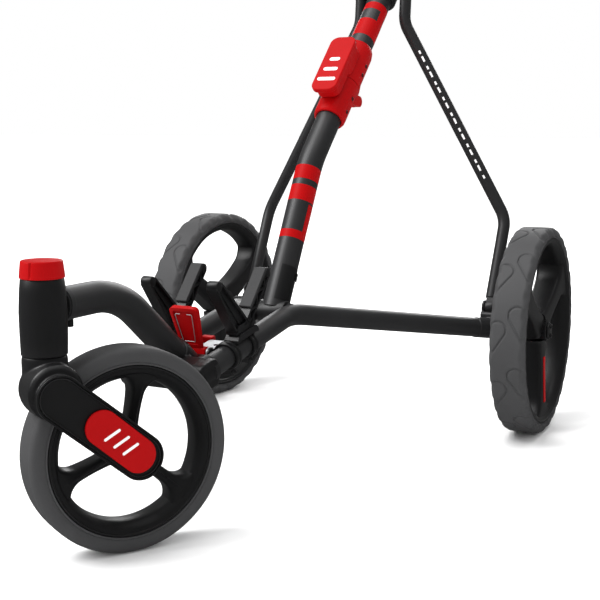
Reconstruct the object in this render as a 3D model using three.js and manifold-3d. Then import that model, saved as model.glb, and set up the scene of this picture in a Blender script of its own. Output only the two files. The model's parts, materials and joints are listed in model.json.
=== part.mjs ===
// Golf push trolley: a three-wheeled folding frame that carries a golf bag.
//
// Millimetres, +Z up, +Y towards the rear (the handle end), +X to the trolley's right.
// The ground is z = 0 and the row's origin lies on it, under the middle of the trolley's length.
// Inside this file the rear axle is at y = 0, and REAR_AXLE_Y places the finished trolley in the row.

import * as THREE from 'three';
import { mergeVertices } from 'three/addons/utils/BufferGeometryUtils.js';
import Module from 'manifold-3d';

const wasm = await Module();
wasm.setup();

// ---------------------------------------------------------------- driving dimensions

const GAP = 0.3; // clearance between pieces that touch
const REAR_AXLE_Y = 151.4; // rear axle in the row's frame

const REAR_WHEEL = { radius: 150, seat: 134.6, halfWidth: 25, hub: 19, halfTrack: 273.6 };
const FRONT_WHEEL = { radius: 110, seat: 91.6, halfWidth: 21, hub: 17 };
const TOE_OUT = THREE.MathUtils.degToRad(3.15);
const SPOKE_ANGLES = { rear: [30, 150, 270], front: [79, 199, 319] };

const HEAD_Y = -752; // steering axis of the front wheel
const TRAIL = 84.7; // the front axle's distance behind the steering axis
const STEERING = THREE.MathUtils.degToRad(-30.5); // the way the front wheel stands at rest
const HEAD = { bottom: 218.9, top: 296.5, bore: 14.3 };

const BOOM = { outer: 17.5, inner: 15.5, height: 266.5, kneeY: -631, endY: -505, endZ: 164.3 };
const FRAME_TUBE = { outer: 14, inner: 12, halfSpacing: 42, bend: 70 };
const FRAME_START = { y: -545, z: 158.9 }; // front ends of the two frame tubes
const FRAME_BEND = { y: -317, z: 201 }; // where they part towards the wheels
const FRAME_END = { x: 205, y: -28.8, z: 151.5 };
const FRAME_SLOPE = Math.atan2(FRAME_BEND.z - FRAME_START.z, FRAME_BEND.y - FRAME_START.y);

const MAST = { outer: 18, inner: 16, bend: 150 };
const MAST_PIVOT = { y: -285, z: 196 }; // hinge at the foot of the mast
const MAST_KNEE = { y: -180.8, z: 394.4 }; // the mast leans further back above its knee
const MAST_LEAN = THREE.MathUtils.degToRad(-43.68); // tilt of the mast above its knee
const COUPLER = { start: 82, split: 150, end: 226, outer: 23.5, hingeY: 33, hingeR: 8.5 };
const SLIDER = { start: 97, end: 205, halfWidth: 20.5, under: -37.6, top: -46 };
const YOKE_S = 352.6; // the struts' upper pivot, along the mast from its knee
const BAG_REST_S = 455;
const BAG_RADIUS = 115;
const MAST_TOP_S = 765;
const HANDLE_S = 795; // the handle bar's axis

const STRUT = { outer: 9, inner: 7.5, bend: 45, halfTop: 37.6, halfBottom: 206 };
const STRUT_PIVOT = { y: 3, z: 178 };
const STRUT_LOW_BEND = { y: 63, z: 305 };
const STRUT_HIGH_BEND = { y: 58.8, z: 602 };

const HANDLE = { outer: 12, inner: 10, halfWidth: 152, reach: 118, rise: 30, bend: 36, grip: 16 };

const CRADLE_Y = -441; // middle of the bag cradle, along the frame tubes
const LATCH = { y: 66, z: 5, length: 58, lean: 100, halfWidth: 20 }; // in the junction's own frame

// ---------------------------------------------------------------- materials

const finish = (color, roughness, metalness) => ({ color, roughness, metalness });
const COATED = finish(0x3a3b3d, 0.42, 0.6);
const BLACK = finish(0x1d1e20, 0.5, 0.0);
const RED = finish(0xc8141a, 0.35, 0.0);
const TYRE = finish(0x4a4b4d, 0.85, 0.0);
const PAD = finish(0x55575a, 0.8, 0.0);
const STEEL = finish(0xb8babd, 0.3, 1.0);
const BRONZE = finish(0x9a7a45, 0.45, 0.9);

// ---------------------------------------------------------------- geometry helpers

const vector = (x, y, z) => new THREE.Vector3(x, y, z);
const radians = THREE.MathUtils.degToRad;

// Merges the shared vertices of a geometry and drops the slivers that a lathe leaves on its axis.
function closed(geometry) {
  const bare = geometry.clone();
  for (const name of Object.keys(bare.attributes)) {
    if (name !== 'position') bare.deleteAttribute(name);
  }
  const merged = mergeVertices(bare, 1e-3);
  const kept = [];
  const index = merged.index.array;
  for (let i = 0; i < index.length; i += 3) {
    const [a, b, c] = [index[i], index[i + 1], index[i + 2]];
    if (a !== b && b !== c && c !== a) kept.push(a, b, c);
  }
  merged.setIndex(kept);
  return merged;
}

function toSolid(geometry) {
  const mesh = closed(geometry);
  return new wasm.Manifold(
    new wasm.Mesh({
      numProp: 3,
      vertProperties: new Float32Array(mesh.attributes.position.array),
      triVerts: new Uint32Array(mesh.index.array),
    }),
  );
}

function fromSolid(solid) {
  const mesh = solid.getMesh();
  const geometry = new THREE.BufferGeometry();
  geometry.setAttribute('position', new THREE.BufferAttribute(mesh.vertProperties, 3));
  geometry.setIndex(new THREE.BufferAttribute(mesh.triVerts, 1));
  return geometry;
}

const join = (...parts) => fromSolid(parts.map(toSolid).reduce((sum, part) => sum.add(part)));
const cut = (body, ...tools) =>
  fromSolid(tools.map(toSolid).reduce((rest, tool) => rest.subtract(tool), toSolid(body)));

// A cylinder along 'x', 'y' or 'z', from one end coordinate to the other, at a place across its axis.
function rod(axis, radius, from, to, across = [0, 0], segments = 16) {
  const geometry = new THREE.CylinderGeometry(radius, radius, to - from, segments);
  const middle = (from + to) / 2;
  if (axis === 'x') return geometry.rotateZ(-Math.PI / 2).translate(middle, ...across);
  if (axis === 'y') return geometry.translate(across[0], middle, across[1]);
  return geometry.rotateX(Math.PI / 2).translate(...across, middle);
}

const box = (x, y, z) =>
  new THREE.BoxGeometry(x[1] - x[0], y[1] - y[0], z[1] - z[0]).translate(
    (x[0] + x[1]) / 2,
    (y[0] + y[1]) / 2,
    (z[0] + z[1]) / 2,
  );

// A profile of [along the axis, radius] points turned about the X axis, as a wheel is.
function turnedX(profile, segments = 40) {
  const points = profile.map(([along, radius]) => new THREE.Vector2(radius, along));
  return new THREE.LatheGeometry(points, segments).rotateZ(-Math.PI / 2);
}

// A profile of [radius, height] points turned about the Z axis.
function turnedZ(profile, segments = 24) {
  const points = profile.map(([radius, height]) => new THREE.Vector2(radius, height));
  return new THREE.LatheGeometry(points, segments).rotateX(Math.PI / 2);
}

// Straight runs joined by round bends. Each station is a point of the path with its direction.
class BentPath extends THREE.Curve {
  constructor(corners, bendRadius, bendSteps = 4) {
    super();
    const last = corners.length - 1;
    const heading = (i) => corners[i + 1].clone().sub(corners[i]).normalize();
    this.stations = [[corners[0], heading(0)]];
    for (let i = 1; i < last; i += 1) {
      const [arriving, leaving] = [heading(i - 1), heading(i)];
      const angle = arriving.angleTo(leaving);
      const inward = leaving.clone().addScaledVector(arriving, -Math.cos(angle)).normalize();
      const start = corners[i].clone().addScaledVector(arriving, -bendRadius * Math.tan(angle / 2));
      for (let step = 0; step <= bendSteps; step += 1) {
        const turn = (angle * step) / bendSteps;
        const point = start.clone().addScaledVector(arriving, bendRadius * Math.sin(turn));
        point.addScaledVector(inward, bendRadius * (1 - Math.cos(turn)));
        const direction = arriving.clone().multiplyScalar(Math.cos(turn));
        this.stations.push([point, direction.addScaledVector(inward, Math.sin(turn))]);
      }
    }
    this.stations.push([corners[last], heading(last - 1)]);
  }

  station(u) {
    return this.stations[Math.round(u * (this.stations.length - 1))];
  }

  getPointAt(u) {
    return this.station(u)[0].clone();
  }

  getTangentAt(u) {
    return this.station(u)[1].clone();
  }
}

// A round tube along a bent path; inner 0 makes a solid bar.
function tube(corners, outer, inner, bendRadius, sides = 12) {
  const path = new BentPath(corners, bendRadius);
  const section = new THREE.Shape().absarc(0, 0, outer, 0, 2 * Math.PI);
  if (inner > 0) section.holes.push(new THREE.Path().absarc(0, 0, inner, 0, 2 * Math.PI, true));
  return new THREE.ExtrudeGeometry(section, {
    steps: path.stations.length - 1,
    extrudePath: path,
    curveSegments: sides / 2,
    bevelEnabled: false,
  });
}

// An outline drawn in (y, z), extruded along X from one side to the other.
function slabX(shape, from, to, curveSegments = 8) {
  const geometry = new THREE.ExtrudeGeometry(shape, {
    depth: to - from,
    bevelEnabled: false,
    curveSegments,
  });
  // the outline's first axis becomes Y and its second Z
  geometry.rotateX(Math.PI / 2).rotateZ(Math.PI / 2);
  return geometry.translate(from, 0, 0);
}

// An outline with two round ends, between two points.
function capsule(from, to, radius) {
  const angle = Math.atan2(to[1] - from[1], to[0] - from[0]);
  const shape = new THREE.Shape();
  shape.absarc(to[0], to[1], radius, angle - Math.PI / 2, angle + Math.PI / 2, false);
  shape.absarc(from[0], from[1], radius, angle + Math.PI / 2, angle + (3 * Math.PI) / 2, false);
  shape.closePath();
  return shape;
}

function roundedRectangle(x0, y0, x1, y1, r) {
  const shape = new THREE.Shape();
  shape.absarc(x1 - r, y1 - r, r, 0, Math.PI / 2, false);
  shape.absarc(x0 + r, y1 - r, r, Math.PI / 2, Math.PI, false);
  shape.absarc(x0 + r, y0 + r, r, Math.PI, 1.5 * Math.PI, false);
  shape.absarc(x1 - r, y0 + r, r, 1.5 * Math.PI, 2 * Math.PI, false);
  shape.closePath();
  return shape;
}

// ---------------------------------------------------------------- the tree

const trolley = new THREE.Group();
trolley.position.y = REAR_AXLE_Y;

function group(parent, x, y, z, rotation = {}) {
  const child = new THREE.Group();
  child.position.set(x, y, z);
  child.rotation.set(rotation.x ?? 0, rotation.y ?? 0, rotation.z ?? 0);
  parent.add(child);
  return child;
}

function piece(parent, name, geometry, look) {
  const mesh = new THREE.Mesh(closed(geometry), new THREE.MeshStandardMaterial(look));
  mesh.name = name;
  parent.add(mesh);
  return mesh;
}

// Mirrors a geometry to the trolley's left side, with its faces still pointing out.
function mirrored(geometry) {
  const copy = closed(geometry);
  copy.scale(-1, 1, 1);
  const index = copy.index.array;
  for (let i = 0; i < index.length; i += 3) {
    [index[i], index[i + 1]] = [index[i + 1], index[i]];
  }
  return copy;
}

function pair(parent, name, geometry, look) {
  piece(parent, `${name}_right`, geometry, look);
  piece(parent, `${name}_left`, mirrored(geometry), look);
}

// ---------------------------------------------------------------- wheels

// One moulded spoke, standing up from the hub and flared where it meets the rim.
function spoke(angle, wheel, waist, flare, halfDepth) {
  const root = wheel.hub - 4;
  const tip = wheel.seat - 6;
  const mid = (root + tip) / 2;
  const shape = new THREE.Shape();
  shape.moveTo(root, -waist * 1.25);
  shape.quadraticCurveTo(mid, -waist * 0.8, tip - flare, -waist);
  shape.quadraticCurveTo(tip - 4, -waist * 1.1, tip, -waist - flare);
  shape.lineTo(tip, waist + flare);
  shape.quadraticCurveTo(tip - 4, waist * 1.1, tip - flare, waist);
  shape.quadraticCurveTo(mid, waist * 0.8, root, waist * 1.25);
  shape.closePath();
  return slabX(shape, -halfDepth, halfDepth, 4).rotateX(radians(angle));
}

function rim(wheel, angles, bore, depth) {
  const { seat, halfWidth } = wheel;
  const edge = halfWidth - 1.5;
  const outer = seat - GAP;
  const hoop = turnedX([
    [-edge + 3, outer],
    [edge - 3, outer],
    [edge, outer - 2],
    [edge, outer - 8],
    [edge - 6, outer - 11],
    [6 - edge, outer - 11],
    [-edge, outer - 8],
    [-edge, outer - 2],
    [-edge + 3, outer],
  ]);
  const hub = rod('x', wheel.hub, -halfWidth + 3, halfWidth - 3);
  const arms = angles.map((angle) => spoke(angle, wheel, wheel.hub * 0.55, depth, halfWidth * 0.62));
  return cut(join(hoop, hub, ...arms), rod('x', bore, -halfWidth, halfWidth));
}

function tyre({ radius, seat, halfWidth }) {
  const half = [
    [5 - halfWidth, seat],
    [1 - halfWidth, seat + 1.5],
    [-halfWidth, radius - 8],
    [4.2 - halfWidth, radius - 2.8],
    [12 - halfWidth, radius],
  ];
  const other = half.map(([along, r]) => [-along, r]).reverse();
  return turnedX([...half, ...other, half[0]]);
}

// ---------------------------------------------------------------- head and front wheel

const head = group(trolley, 0, HEAD_Y, 0);
const STEM_R = 8;

piece(
  head,
  'head_barrel',
  turnedZ([
    [HEAD.bore, HEAD.bottom],
    [23.4, HEAD.bottom],
    [24, HEAD.bottom + 22],
    [24.2, HEAD.bottom + 44],
    [23.2, HEAD.top - 14],
    [21.8, HEAD.top],
    [HEAD.bore, HEAD.top],
    [HEAD.bore, HEAD.bottom],
  ]),
  BLACK,
);

for (const [name, from] of [['lower', HEAD.bottom], ['upper', HEAD.top - 14]]) {
  const sleeve = rod('z', HEAD.bore - GAP, from, from + 14);
  piece(head, `head_bush_${name}`, cut(sleeve, rod('z', STEM_R + GAP, from - 1, from + 15)), BRONZE);
}

piece(
  head,
  'head_knob',
  turnedZ([
    [17, HEAD.top + GAP],
    [22.8, HEAD.top + GAP],
    [22.4, HEAD.top + 4],
    [21.3, HEAD.top + 16.5],
    [19.8, HEAD.top + 18],
    [0, HEAD.top + 18],
    [0, HEAD.top + 13],
    [17, HEAD.top + 13],
    [17, HEAD.top + GAP],
  ]),
  RED,
);

const swivel = group(head, 0, 0, 0, { z: STEERING });
const ARM = { inner: 26, outer: 45, radius: 24.5, top: [0, 181], recess: 3 };
const AXLE_PLACE = [TRAIL, FRONT_WHEEL.radius];
const AXLE_R = 5;

function forkArm() {
  const ring = rod('z', 23.4, 200, HEAD.bottom - GAP);
  const elbow = rod('x', 29, -14, ARM.inner + 1, [0, 185], 24);
  const arm = slabX(capsule(ARM.top, AXLE_PLACE, ARM.radius), ARM.inner, ARM.outer, 8);
  const boss = rod('x', 11, 22, ARM.inner + 1, AXLE_PLACE);
  const wheelArch = rod('x', FRONT_WHEEL.radius + 4, -60, 24.3, AXLE_PLACE, 40);
  const recess = capsule(ARM.top, AXLE_PLACE, ARM.radius - 3.5);
  const face = slabX(recess, ARM.outer - ARM.recess, ARM.outer + 2, 8);
  const socket = rod('z', STEM_R + GAP, 192, HEAD.bottom + 2);
  const bore = rod('x', AXLE_R + GAP, 10, 38, AXLE_PLACE);
  const body = cut(join(ring, elbow), wheelArch);
  return cut(join(body, arm, boss), face, socket, bore);
}

piece(swivel, 'fork_arm', forkArm(), BLACK);
piece(swivel, 'swivel_stem', rod('z', STEM_R, 193, HEAD.top + 8), STEEL);
const nut = new THREE.CylinderGeometry(13, 13, 6, 6).rotateX(Math.PI / 2);
nut.translate(0, 0, HEAD.top + 4);
const stemHole = rod('z', STEM_R + GAP, HEAD.top - 2, HEAD.top + 12);
piece(swivel, 'stem_nut', cut(nut, stemHole), STEEL);
const badgeFrom = ARM.outer - ARM.recess + GAP;
const badge = slabX(capsule([42.5, 147], [81.5, 112.5], 18.6), badgeFrom, badgeFrom + 3.2, 6);
piece(swivel, 'badge_plate', badge, RED);
piece(
  swivel,
  'front_axle',
  join(rod('x', AXLE_R, -22, 37.5, AXLE_PLACE), rod('x', 9, -26, -21.5, AXLE_PLACE)),
  STEEL,
);

const frontWheel = group(swivel, 0, ...AXLE_PLACE);
const FRONT_BEARING_R = 11;
piece(frontWheel, 'front_rim', rim(FRONT_WHEEL, SPOKE_ANGLES.front, FRONT_BEARING_R, 9), BLACK);
piece(frontWheel, 'front_tyre', tyre(FRONT_WHEEL), TYRE);
const frontBearing = rod('x', FRONT_BEARING_R - GAP, -20.5, 20.5);
piece(frontWheel, 'front_bearing', cut(frontBearing, rod('x', AXLE_R + GAP, -22, 22)), STEEL);

// ---------------------------------------------------------------- frame

const boomCorners = [
  vector(0, HEAD_Y + 12, BOOM.height),
  vector(0, BOOM.kneeY, BOOM.height),
  vector(0, BOOM.endY, BOOM.endZ),
];
const boomTube = tube(boomCorners, BOOM.outer, BOOM.inner, 120);
const barrelSpace = rod('z', 24.6, 200, 320, [0, HEAD_Y], 32);
piece(trolley, 'boom_tube', cut(boomTube, barrelSpace), COATED);

const frameCorners = [
  vector(FRAME_TUBE.halfSpacing, FRAME_START.y, FRAME_START.z),
  vector(FRAME_TUBE.halfSpacing, FRAME_BEND.y, FRAME_BEND.z),
  vector(FRAME_END.x, FRAME_END.y, FRAME_END.z),
];
const frameTube = tube(frameCorners, FRAME_TUBE.outer, FRAME_TUBE.inner, FRAME_TUBE.bend);
pair(trolley, 'frame_tube', frameTube, COATED);

// The junction's own frame follows the frame tubes: y along them from their front ends, z across.
const junction = group(trolley, 0, FRAME_START.y, FRAME_START.z, { x: FRAME_SLOPE });

function junctionCasting() {
  const boomDrop = Math.atan2(BOOM.height - BOOM.endZ, BOOM.endY - BOOM.kneeY) + FRAME_SLOPE;
  const end = vector(0, BOOM.endY - FRAME_START.y, BOOM.endZ - FRAME_START.z);
  end.applyAxisAngle(vector(1, 0, 0), -FRAME_SLOPE);
  const along = (radius, from, to) =>
    rod('y', radius, -to, -from, [0, 0], 24).rotateX(-boomDrop).translate(0, end.y, end.z);
  const bar = slabX(roundedRectangle(-10, -17, 30, 17, 10), -60, 60, 3);
  const block = box([-27.4, 27.4], [-6, 56], [-17, 6]);
  const shelf = box([-23.4, 23.4], [50, 124], [-14, -6.2]);
  const bores = [-1, 1].map((side) =>
    rod('y', FRAME_TUBE.outer + GAP, -GAP, 80, [side * FRAME_TUBE.halfSpacing, 0], 16),
  );
  return cut(join(bar, block, shelf, along(21, -2, 30)), along(BOOM.outer + GAP, -0.3, 70), ...bores);
}

piece(junction, 'junction_casting', junctionCasting(), BLACK);

function mastHingeBracket() {
  const { y, z } = MAST_PIVOT;
  const bar = box([-40, 40], [y + 28, y + 38], [z - 12, z + 6]);
  const cheeks = [-1, 1].flatMap((side) => {
    const span = (a, b) => [Math.min(side * a, side * b), Math.max(side * a, side * b)];
    const wall = box(span(21, 40), [y - 33, y + 38], [z - 12, z + 10]);
    const ear = slabX(capsule([y - 4, z - 2], [y, z], 13), ...span(21, 27.5));
    return [wall, ear];
  });
  const fat = tube(frameCorners, FRAME_TUBE.outer + GAP, 0, FRAME_TUBE.bend);
  return cut(join(bar, ...cheeks), fat, mirrored(fat), rod('x', 5 + GAP, -50, 50, [y, z]));
}

piece(trolley, 'mast_hinge_bracket', mastHingeBracket(), BLACK);
piece(trolley, 'mast_hinge_pin', rod('x', 5, -27, 27, [MAST_PIVOT.y, MAST_PIVOT.z]), STEEL);

// ---------------------------------------------------------------- bag cradle

const CRADLE = {
  front: [[-15, 30.5], [-50.6, 94.7]], // root and tip of each arm
  back: [[3, 30.5], [61, 77]],
  thick: 6,
  halfX: 7.5,
  outset: 5, // the arms stand outside the middle of their tube
};

// The pad lies on the side of the arm that faces the bag.
function cradlePad([root, tip], x) {
  const run = Math.hypot(tip[0] - root[0], tip[1] - root[1]);
  const face = CRADLE.thick + GAP;
  const pad = box([x - 7, x + 7], [17, run + 1], [face, face + 4]);
  return pad.rotateX(Math.atan2(tip[1] - root[1], tip[0] - root[0])).translate(0, ...root);
}

for (const [name, side] of [['right', 1], ['left', -1]]) {
  const along = (CRADLE_Y - FRAME_START.y) / Math.cos(FRAME_SLOPE);
  const cradle = group(junction, side * FRAME_TUBE.halfSpacing, along, 0);
  const middle = side * CRADLE.outset;
  const width = [middle - CRADLE.halfX, middle + CRADLE.halfX];
  const grip = [-43, 1].map((y) => rod('y', 17.6, y, y + 12, [0, 0], 20));
  const saddle = box([middle - 10, middle + 10], [-38, 22], [4, 24]);
  const clamp = cut(join(...grip, saddle), rod('y', FRAME_TUBE.outer + GAP, -60, 60, [0, 0], 16));
  piece(cradle, `cradle_clamp_${name}`, clamp, BLACK);
  const arms = [CRADLE.front, CRADLE.back].map((ends) => slabX(capsule(...ends, CRADLE.thick), ...width, 5));
  const foot = box(width, [-26, 20], [24 + GAP, 34]);
  piece(cradle, `cradle_arm_${name}`, join(...arms, foot), BLACK);
  piece(cradle, `cradle_pad_${name}`, cradlePad(CRADLE.back, middle), PAD);
}

// ---------------------------------------------------------------- fold latch

const LATCH_PLACE = [LATCH.y, LATCH.z];

const LATCH_EAR = { inner: LATCH.halfWidth + GAP, thick: 2.5 };

function latchPlate() {
  const edge = LATCH_EAR.inner + LATCH_EAR.thick;
  const plate = box([-edge, edge], [58, 122], [-5.9, -3.6]);
  const ears = [-edge, LATCH_EAR.inner].map((x) =>
    slabX(capsule([LATCH.y, -2], LATCH_PLACE, 7), x, x + LATCH_EAR.thick),
  );
  const below = box([-30, 30], [50, 100], [-20, -5.9]);
  const pinHole = rod('x', 3 + GAP, -30, 30, LATCH_PLACE);
  const rivetHole = rod('z', 3, -9, 0, [0, 112]);
  return cut(join(plate, ...ears), below, pinHole, rivetHole);
}

function latchLever() {
  const lean = radians(LATCH.lean);
  const tip = [LATCH.y + LATCH.length * Math.cos(lean), LATCH.z + LATCH.length * Math.sin(lean)];
  const handle = slabX(capsule(LATCH_PLACE, tip, 4.5), -LATCH.halfWidth, LATCH.halfWidth, 5);
  const knuckle = rod('x', 7, -LATCH.halfWidth, LATCH.halfWidth, LATCH_PLACE);
  const pocket = box([-12, 12], [14, 48], [2.6, 8]).rotateX(lean).translate(0, ...LATCH_PLACE);
  return cut(join(handle, knuckle), pocket, rod('x', 3 + GAP, -30, 30, LATCH_PLACE));
}

piece(junction, 'latch_plate', latchPlate(), STEEL);
piece(junction, 'latch_pin', rod('x', 3, -24, 24, LATCH_PLACE, 16), STEEL);
piece(junction, 'latch_lever', latchLever(), RED);

// ---------------------------------------------------------------- rear brackets, axles and wheels

const REAR_AXLE_R = 6;
const REAR_BEARING_R = 13;
const axleHeight = REAR_WHEEL.radius;

// Turns a geometry made along X at the rear wheel's centre by the wheel's toe-out.
const toed = (geometry) =>
  geometry.rotateZ(TOE_OUT).translate(REAR_WHEEL.halfTrack, 0, axleHeight);

function hubBracket() {
  const heading = frameCorners[2].clone().sub(frameCorners[1]).normalize();
  const turn = new THREE.Quaternion().setFromUnitVectors(vector(0, 1, 0), heading);
  const alongTube = (radius, from, to) =>
    rod('y', radius, from, to).applyQuaternion(turn).translate(FRAME_END.x, FRAME_END.y, FRAME_END.z);
  const boss = toed(rod('x', 17, -68, -36));
  const { y, z } = STRUT_PIVOT;
  const cheek = (x) => slabX(capsule([y, z - 20], [y, z], 10), x, x + 4);
  const lug = box([195.5, 216.5], [-12, 15], [150, z - 11]);
  const body = join(alongTube(17.6, -20, 18), boss, lug, cheek(195.5), cheek(212.5));
  const axleHole = toed(rod('x', REAR_AXLE_R + GAP, -62, -20));
  const pinHole = rod('x', 4 + GAP, 190, 222, [y, z]);
  return cut(body, alongTube(FRAME_TUBE.outer + GAP, -30, GAP), axleHole, pinHole);
}

pair(trolley, 'hub_bracket', hubBracket(), BLACK);
pair(trolley, 'strut_pin', rod('x', 4, 194, 218, [STRUT_PIVOT.y, STRUT_PIVOT.z], 16), STEEL);
pair(trolley, 'rear_axle', toed(rod('x', REAR_AXLE_R, -61, 22)), STEEL);
pair(trolley, 'rear_rim', toed(rim(REAR_WHEEL, SPOKE_ANGLES.rear, REAR_BEARING_R, 16)), BLACK);
pair(trolley, 'rear_tyre', toed(tyre(REAR_WHEEL)), TYRE);
const rearBearing = cut(
  rod('x', REAR_BEARING_R - GAP, -24, 21),
  rod('x', REAR_AXLE_R + GAP, -26, 23),
);
pair(trolley, 'rear_bearing', toed(rearBearing), STEEL);
pair(trolley, 'rear_hub_cap', toed(rod('x', 12, 22.3, 25.5)), BLACK);

// ---------------------------------------------------------------- mast

const mastAxis = vector(0, MAST_KNEE.y - MAST_PIVOT.y, MAST_KNEE.z - MAST_PIVOT.z).normalize();
const pivotPoint = vector(0, MAST_PIVOT.y, MAST_PIVOT.z);
const kneePoint = vector(0, MAST_KNEE.y, MAST_KNEE.z);
const upperAxis = vector(0, 0, 1).applyAxisAngle(vector(1, 0, 0), MAST_LEAN);
const FOOT_TOP = 17;

function mastFoot() {
  const turn = new THREE.Quaternion().setFromUnitVectors(vector(0, 0, 1), mastAxis);
  const along = (radius, from, to) =>
    rod('z', radius, from, to).applyQuaternion(turn).translate(0, MAST_PIVOT.y, MAST_PIVOT.z);
  const eye = rod('x', 16, -20.5, 20.5, [MAST_PIVOT.y, MAST_PIVOT.z]);
  const body = join(eye, along(MAST.outer, -2, FOOT_TOP), along(MAST.inner - 1, 10, 58));
  return cut(body, rod('x', 5 + GAP, -30, 30, [MAST_PIVOT.y, MAST_PIVOT.z]));
}

piece(trolley, 'mast_foot', mastFoot(), BLACK);
const lowerMast = [
  pivotPoint.clone().addScaledVector(mastAxis, FOOT_TOP + GAP),
  kneePoint,
  kneePoint.clone().addScaledVector(upperAxis, COUPLER.split - 0.6),
];
piece(trolley, 'lower_mast_tube', tube(lowerMast, MAST.outer, MAST.inner, MAST.bend), COATED);

// The upper mast's own frame: z up the mast from its knee, y towards the mast's rear side.
const mast = group(trolley, 0, MAST_KNEE.y, MAST_KNEE.z, { x: MAST_LEAN });
const HINGE_PLACE = [COUPLER.hingeY, COUPLER.split];
const mastSpace = (from, to) => rod('z', MAST.outer + GAP, from, to, [0, 0], 24);
const latchSlot = box([-4, 4], [-40, -6], [165.5, 181]);

function lowerShell() {
  const sleeve = turnedZ([
    [0, COUPLER.start],
    [COUPLER.outer - 2, COUPLER.start],
    [COUPLER.outer, COUPLER.start + 4],
    [COUPLER.outer, COUPLER.split - GAP],
    [0, COUPLER.split - GAP],
  ]);
  const lugs = [-16, 9].map((x) => {
    const arm = slabX(capsule([12, COUPLER.split - 12], HINGE_PLACE, 8.2), x, x + 7);
    return cut(arm, box([-20, 20], [-30, COUPLER.hingeY - 9], [COUPLER.split - GAP, 200]));
  });
  return cut(join(sleeve, ...lugs), mastSpace(0, 170), rod('x', 3 + GAP, -30, 30, HINGE_PLACE));
}

function upperShell() {
  const sleeve = turnedZ([
    [0, COUPLER.split + GAP],
    [COUPLER.outer, COUPLER.split + GAP],
    [COUPLER.outer, COUPLER.end - 6],
    [COUPLER.outer - 3, COUPLER.end],
    [0, COUPLER.end],
  ]);
  const fin = new THREE.Shape();
  fin.moveTo(15, COUPLER.split + GAP);
  fin.lineTo(COUPLER.hingeY, COUPLER.split + GAP);
  fin.absarc(...HINGE_PLACE, COUPLER.hingeR, 0, 0.4 * Math.PI, false);
  fin.quadraticCurveTo(COUPLER.hingeY, COUPLER.end - 24, 20, COUPLER.end - 8);
  fin.lineTo(15, COUPLER.end - 8);
  fin.closePath();
  const knuckle = rod('x', COUPLER.hingeR, -8.5, 8.5, HINGE_PLACE);
  const outline = roundedRectangle(-17.5, SLIDER.start + 6, 17.5, SLIDER.end - 6, 10);
  const housing = new THREE.ExtrudeGeometry(outline, { depth: 30, bevelEnabled: false, curveSegments: 5 });
  housing.rotateX(Math.PI / 2).translate(0, SLIDER.under + GAP + 30, 0);
  const lowerSpace = rod('z', COUPLER.outer + 0.7, SLIDER.start - 5, COUPLER.split + GAP);
  const body = join(sleeve, slabX(fin, -8.5, 8.5, 4), knuckle);
  const front = cut(housing, lowerSpace, box([-30, 30], [-20, 30], [60, COUPLER.split + GAP]));
  return cut(join(body, front), mastSpace(100, 230), latchSlot, rod('x', 3 + GAP, -30, 30, HINGE_PLACE));
}

piece(mast, 'coupler_lower_shell', lowerShell(), RED);
piece(mast, 'coupler_upper_shell', upperShell(), RED);
piece(mast, 'coupler_hinge_pin', rod('x', 3, -15.8, 15.8, HINGE_PLACE, 16), STEEL);

const sliderOutline = roundedRectangle(-SLIDER.halfWidth, SLIDER.start, SLIDER.halfWidth, SLIDER.end, 13);
const sliderDepth = SLIDER.under - SLIDER.top;
const slider = new THREE.ExtrudeGeometry(sliderOutline, {
  depth: sliderDepth - 3,
  bevelThickness: 1.5,
  bevelSize: 1.5,
  bevelOffset: -1.5,
  bevelSegments: 1,
  curveSegments: 5,
});
slider.rotateX(Math.PI / 2).translate(0, SLIDER.under - 1.5, 0);
piece(mast, 'release_slider', slider, RED);
piece(
  mast,
  'latch_bolt',
  join(rod('z', 4, 152, 188, [0, -9], 16), box([-3.5, 3.5], [SLIDER.under + GAP, -8], [166, 174])),
  STEEL,
);

const upperMast = tube(
  [vector(0, 0, COUPLER.split + 0.6), vector(0, 0, MAST_TOP_S)],
  MAST.outer,
  MAST.inner,
  0,
);
piece(mast, 'upper_mast_tube', cut(upperMast, latchSlot), COATED);

const yoke = join(rod('z', 24, YOKE_S - 17, YOKE_S + 17), rod('x', 12, -28.3, 28.3, [0, YOKE_S]));
piece(mast, 'strut_yoke', cut(yoke, mastSpace(300, 400)), BLACK);

// ---------------------------------------------------------------- upper bag rest

const REST_FACE = 46; // the bag's surface in front of the mast's axis
const REST_HEIGHT = 26;

// A band that follows the bag's round side, between two angles from straight ahead.
function bagBand(fromDegrees, toDegrees) {
  const centre = -REST_FACE - BAG_RADIUS;
  const shape = new THREE.Shape();
  const [a, b] = [fromDegrees, toDegrees].map((degrees) => radians(90 - degrees));
  shape.absarc(0, centre, BAG_RADIUS + 10, a, b, true);
  shape.absarc(0, centre, BAG_RADIUS, b, a, false);
  shape.closePath();
  const band = new THREE.ExtrudeGeometry(shape, {
    depth: REST_HEIGHT,
    bevelEnabled: false,
    curveSegments: 6,
  });
  return band.translate(0, 0, BAG_REST_S - REST_HEIGHT / 2);
}

const restRange = [BAG_REST_S - REST_HEIGHT / 2, BAG_REST_S + REST_HEIGHT / 2];
const restBody = join(
  rod('z', 24, ...restRange),
  box([-16, 16], [-REST_FACE + 6, -12], restRange),
  bagBand(-16, 16),
);
piece(mast, 'bag_rest_bracket', cut(restBody, mastSpace(400, 500)), BLACK);
pair(mast, 'bag_rest_arm', bagBand(16.2, 58), BLACK);

// ---------------------------------------------------------------- handle

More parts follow.
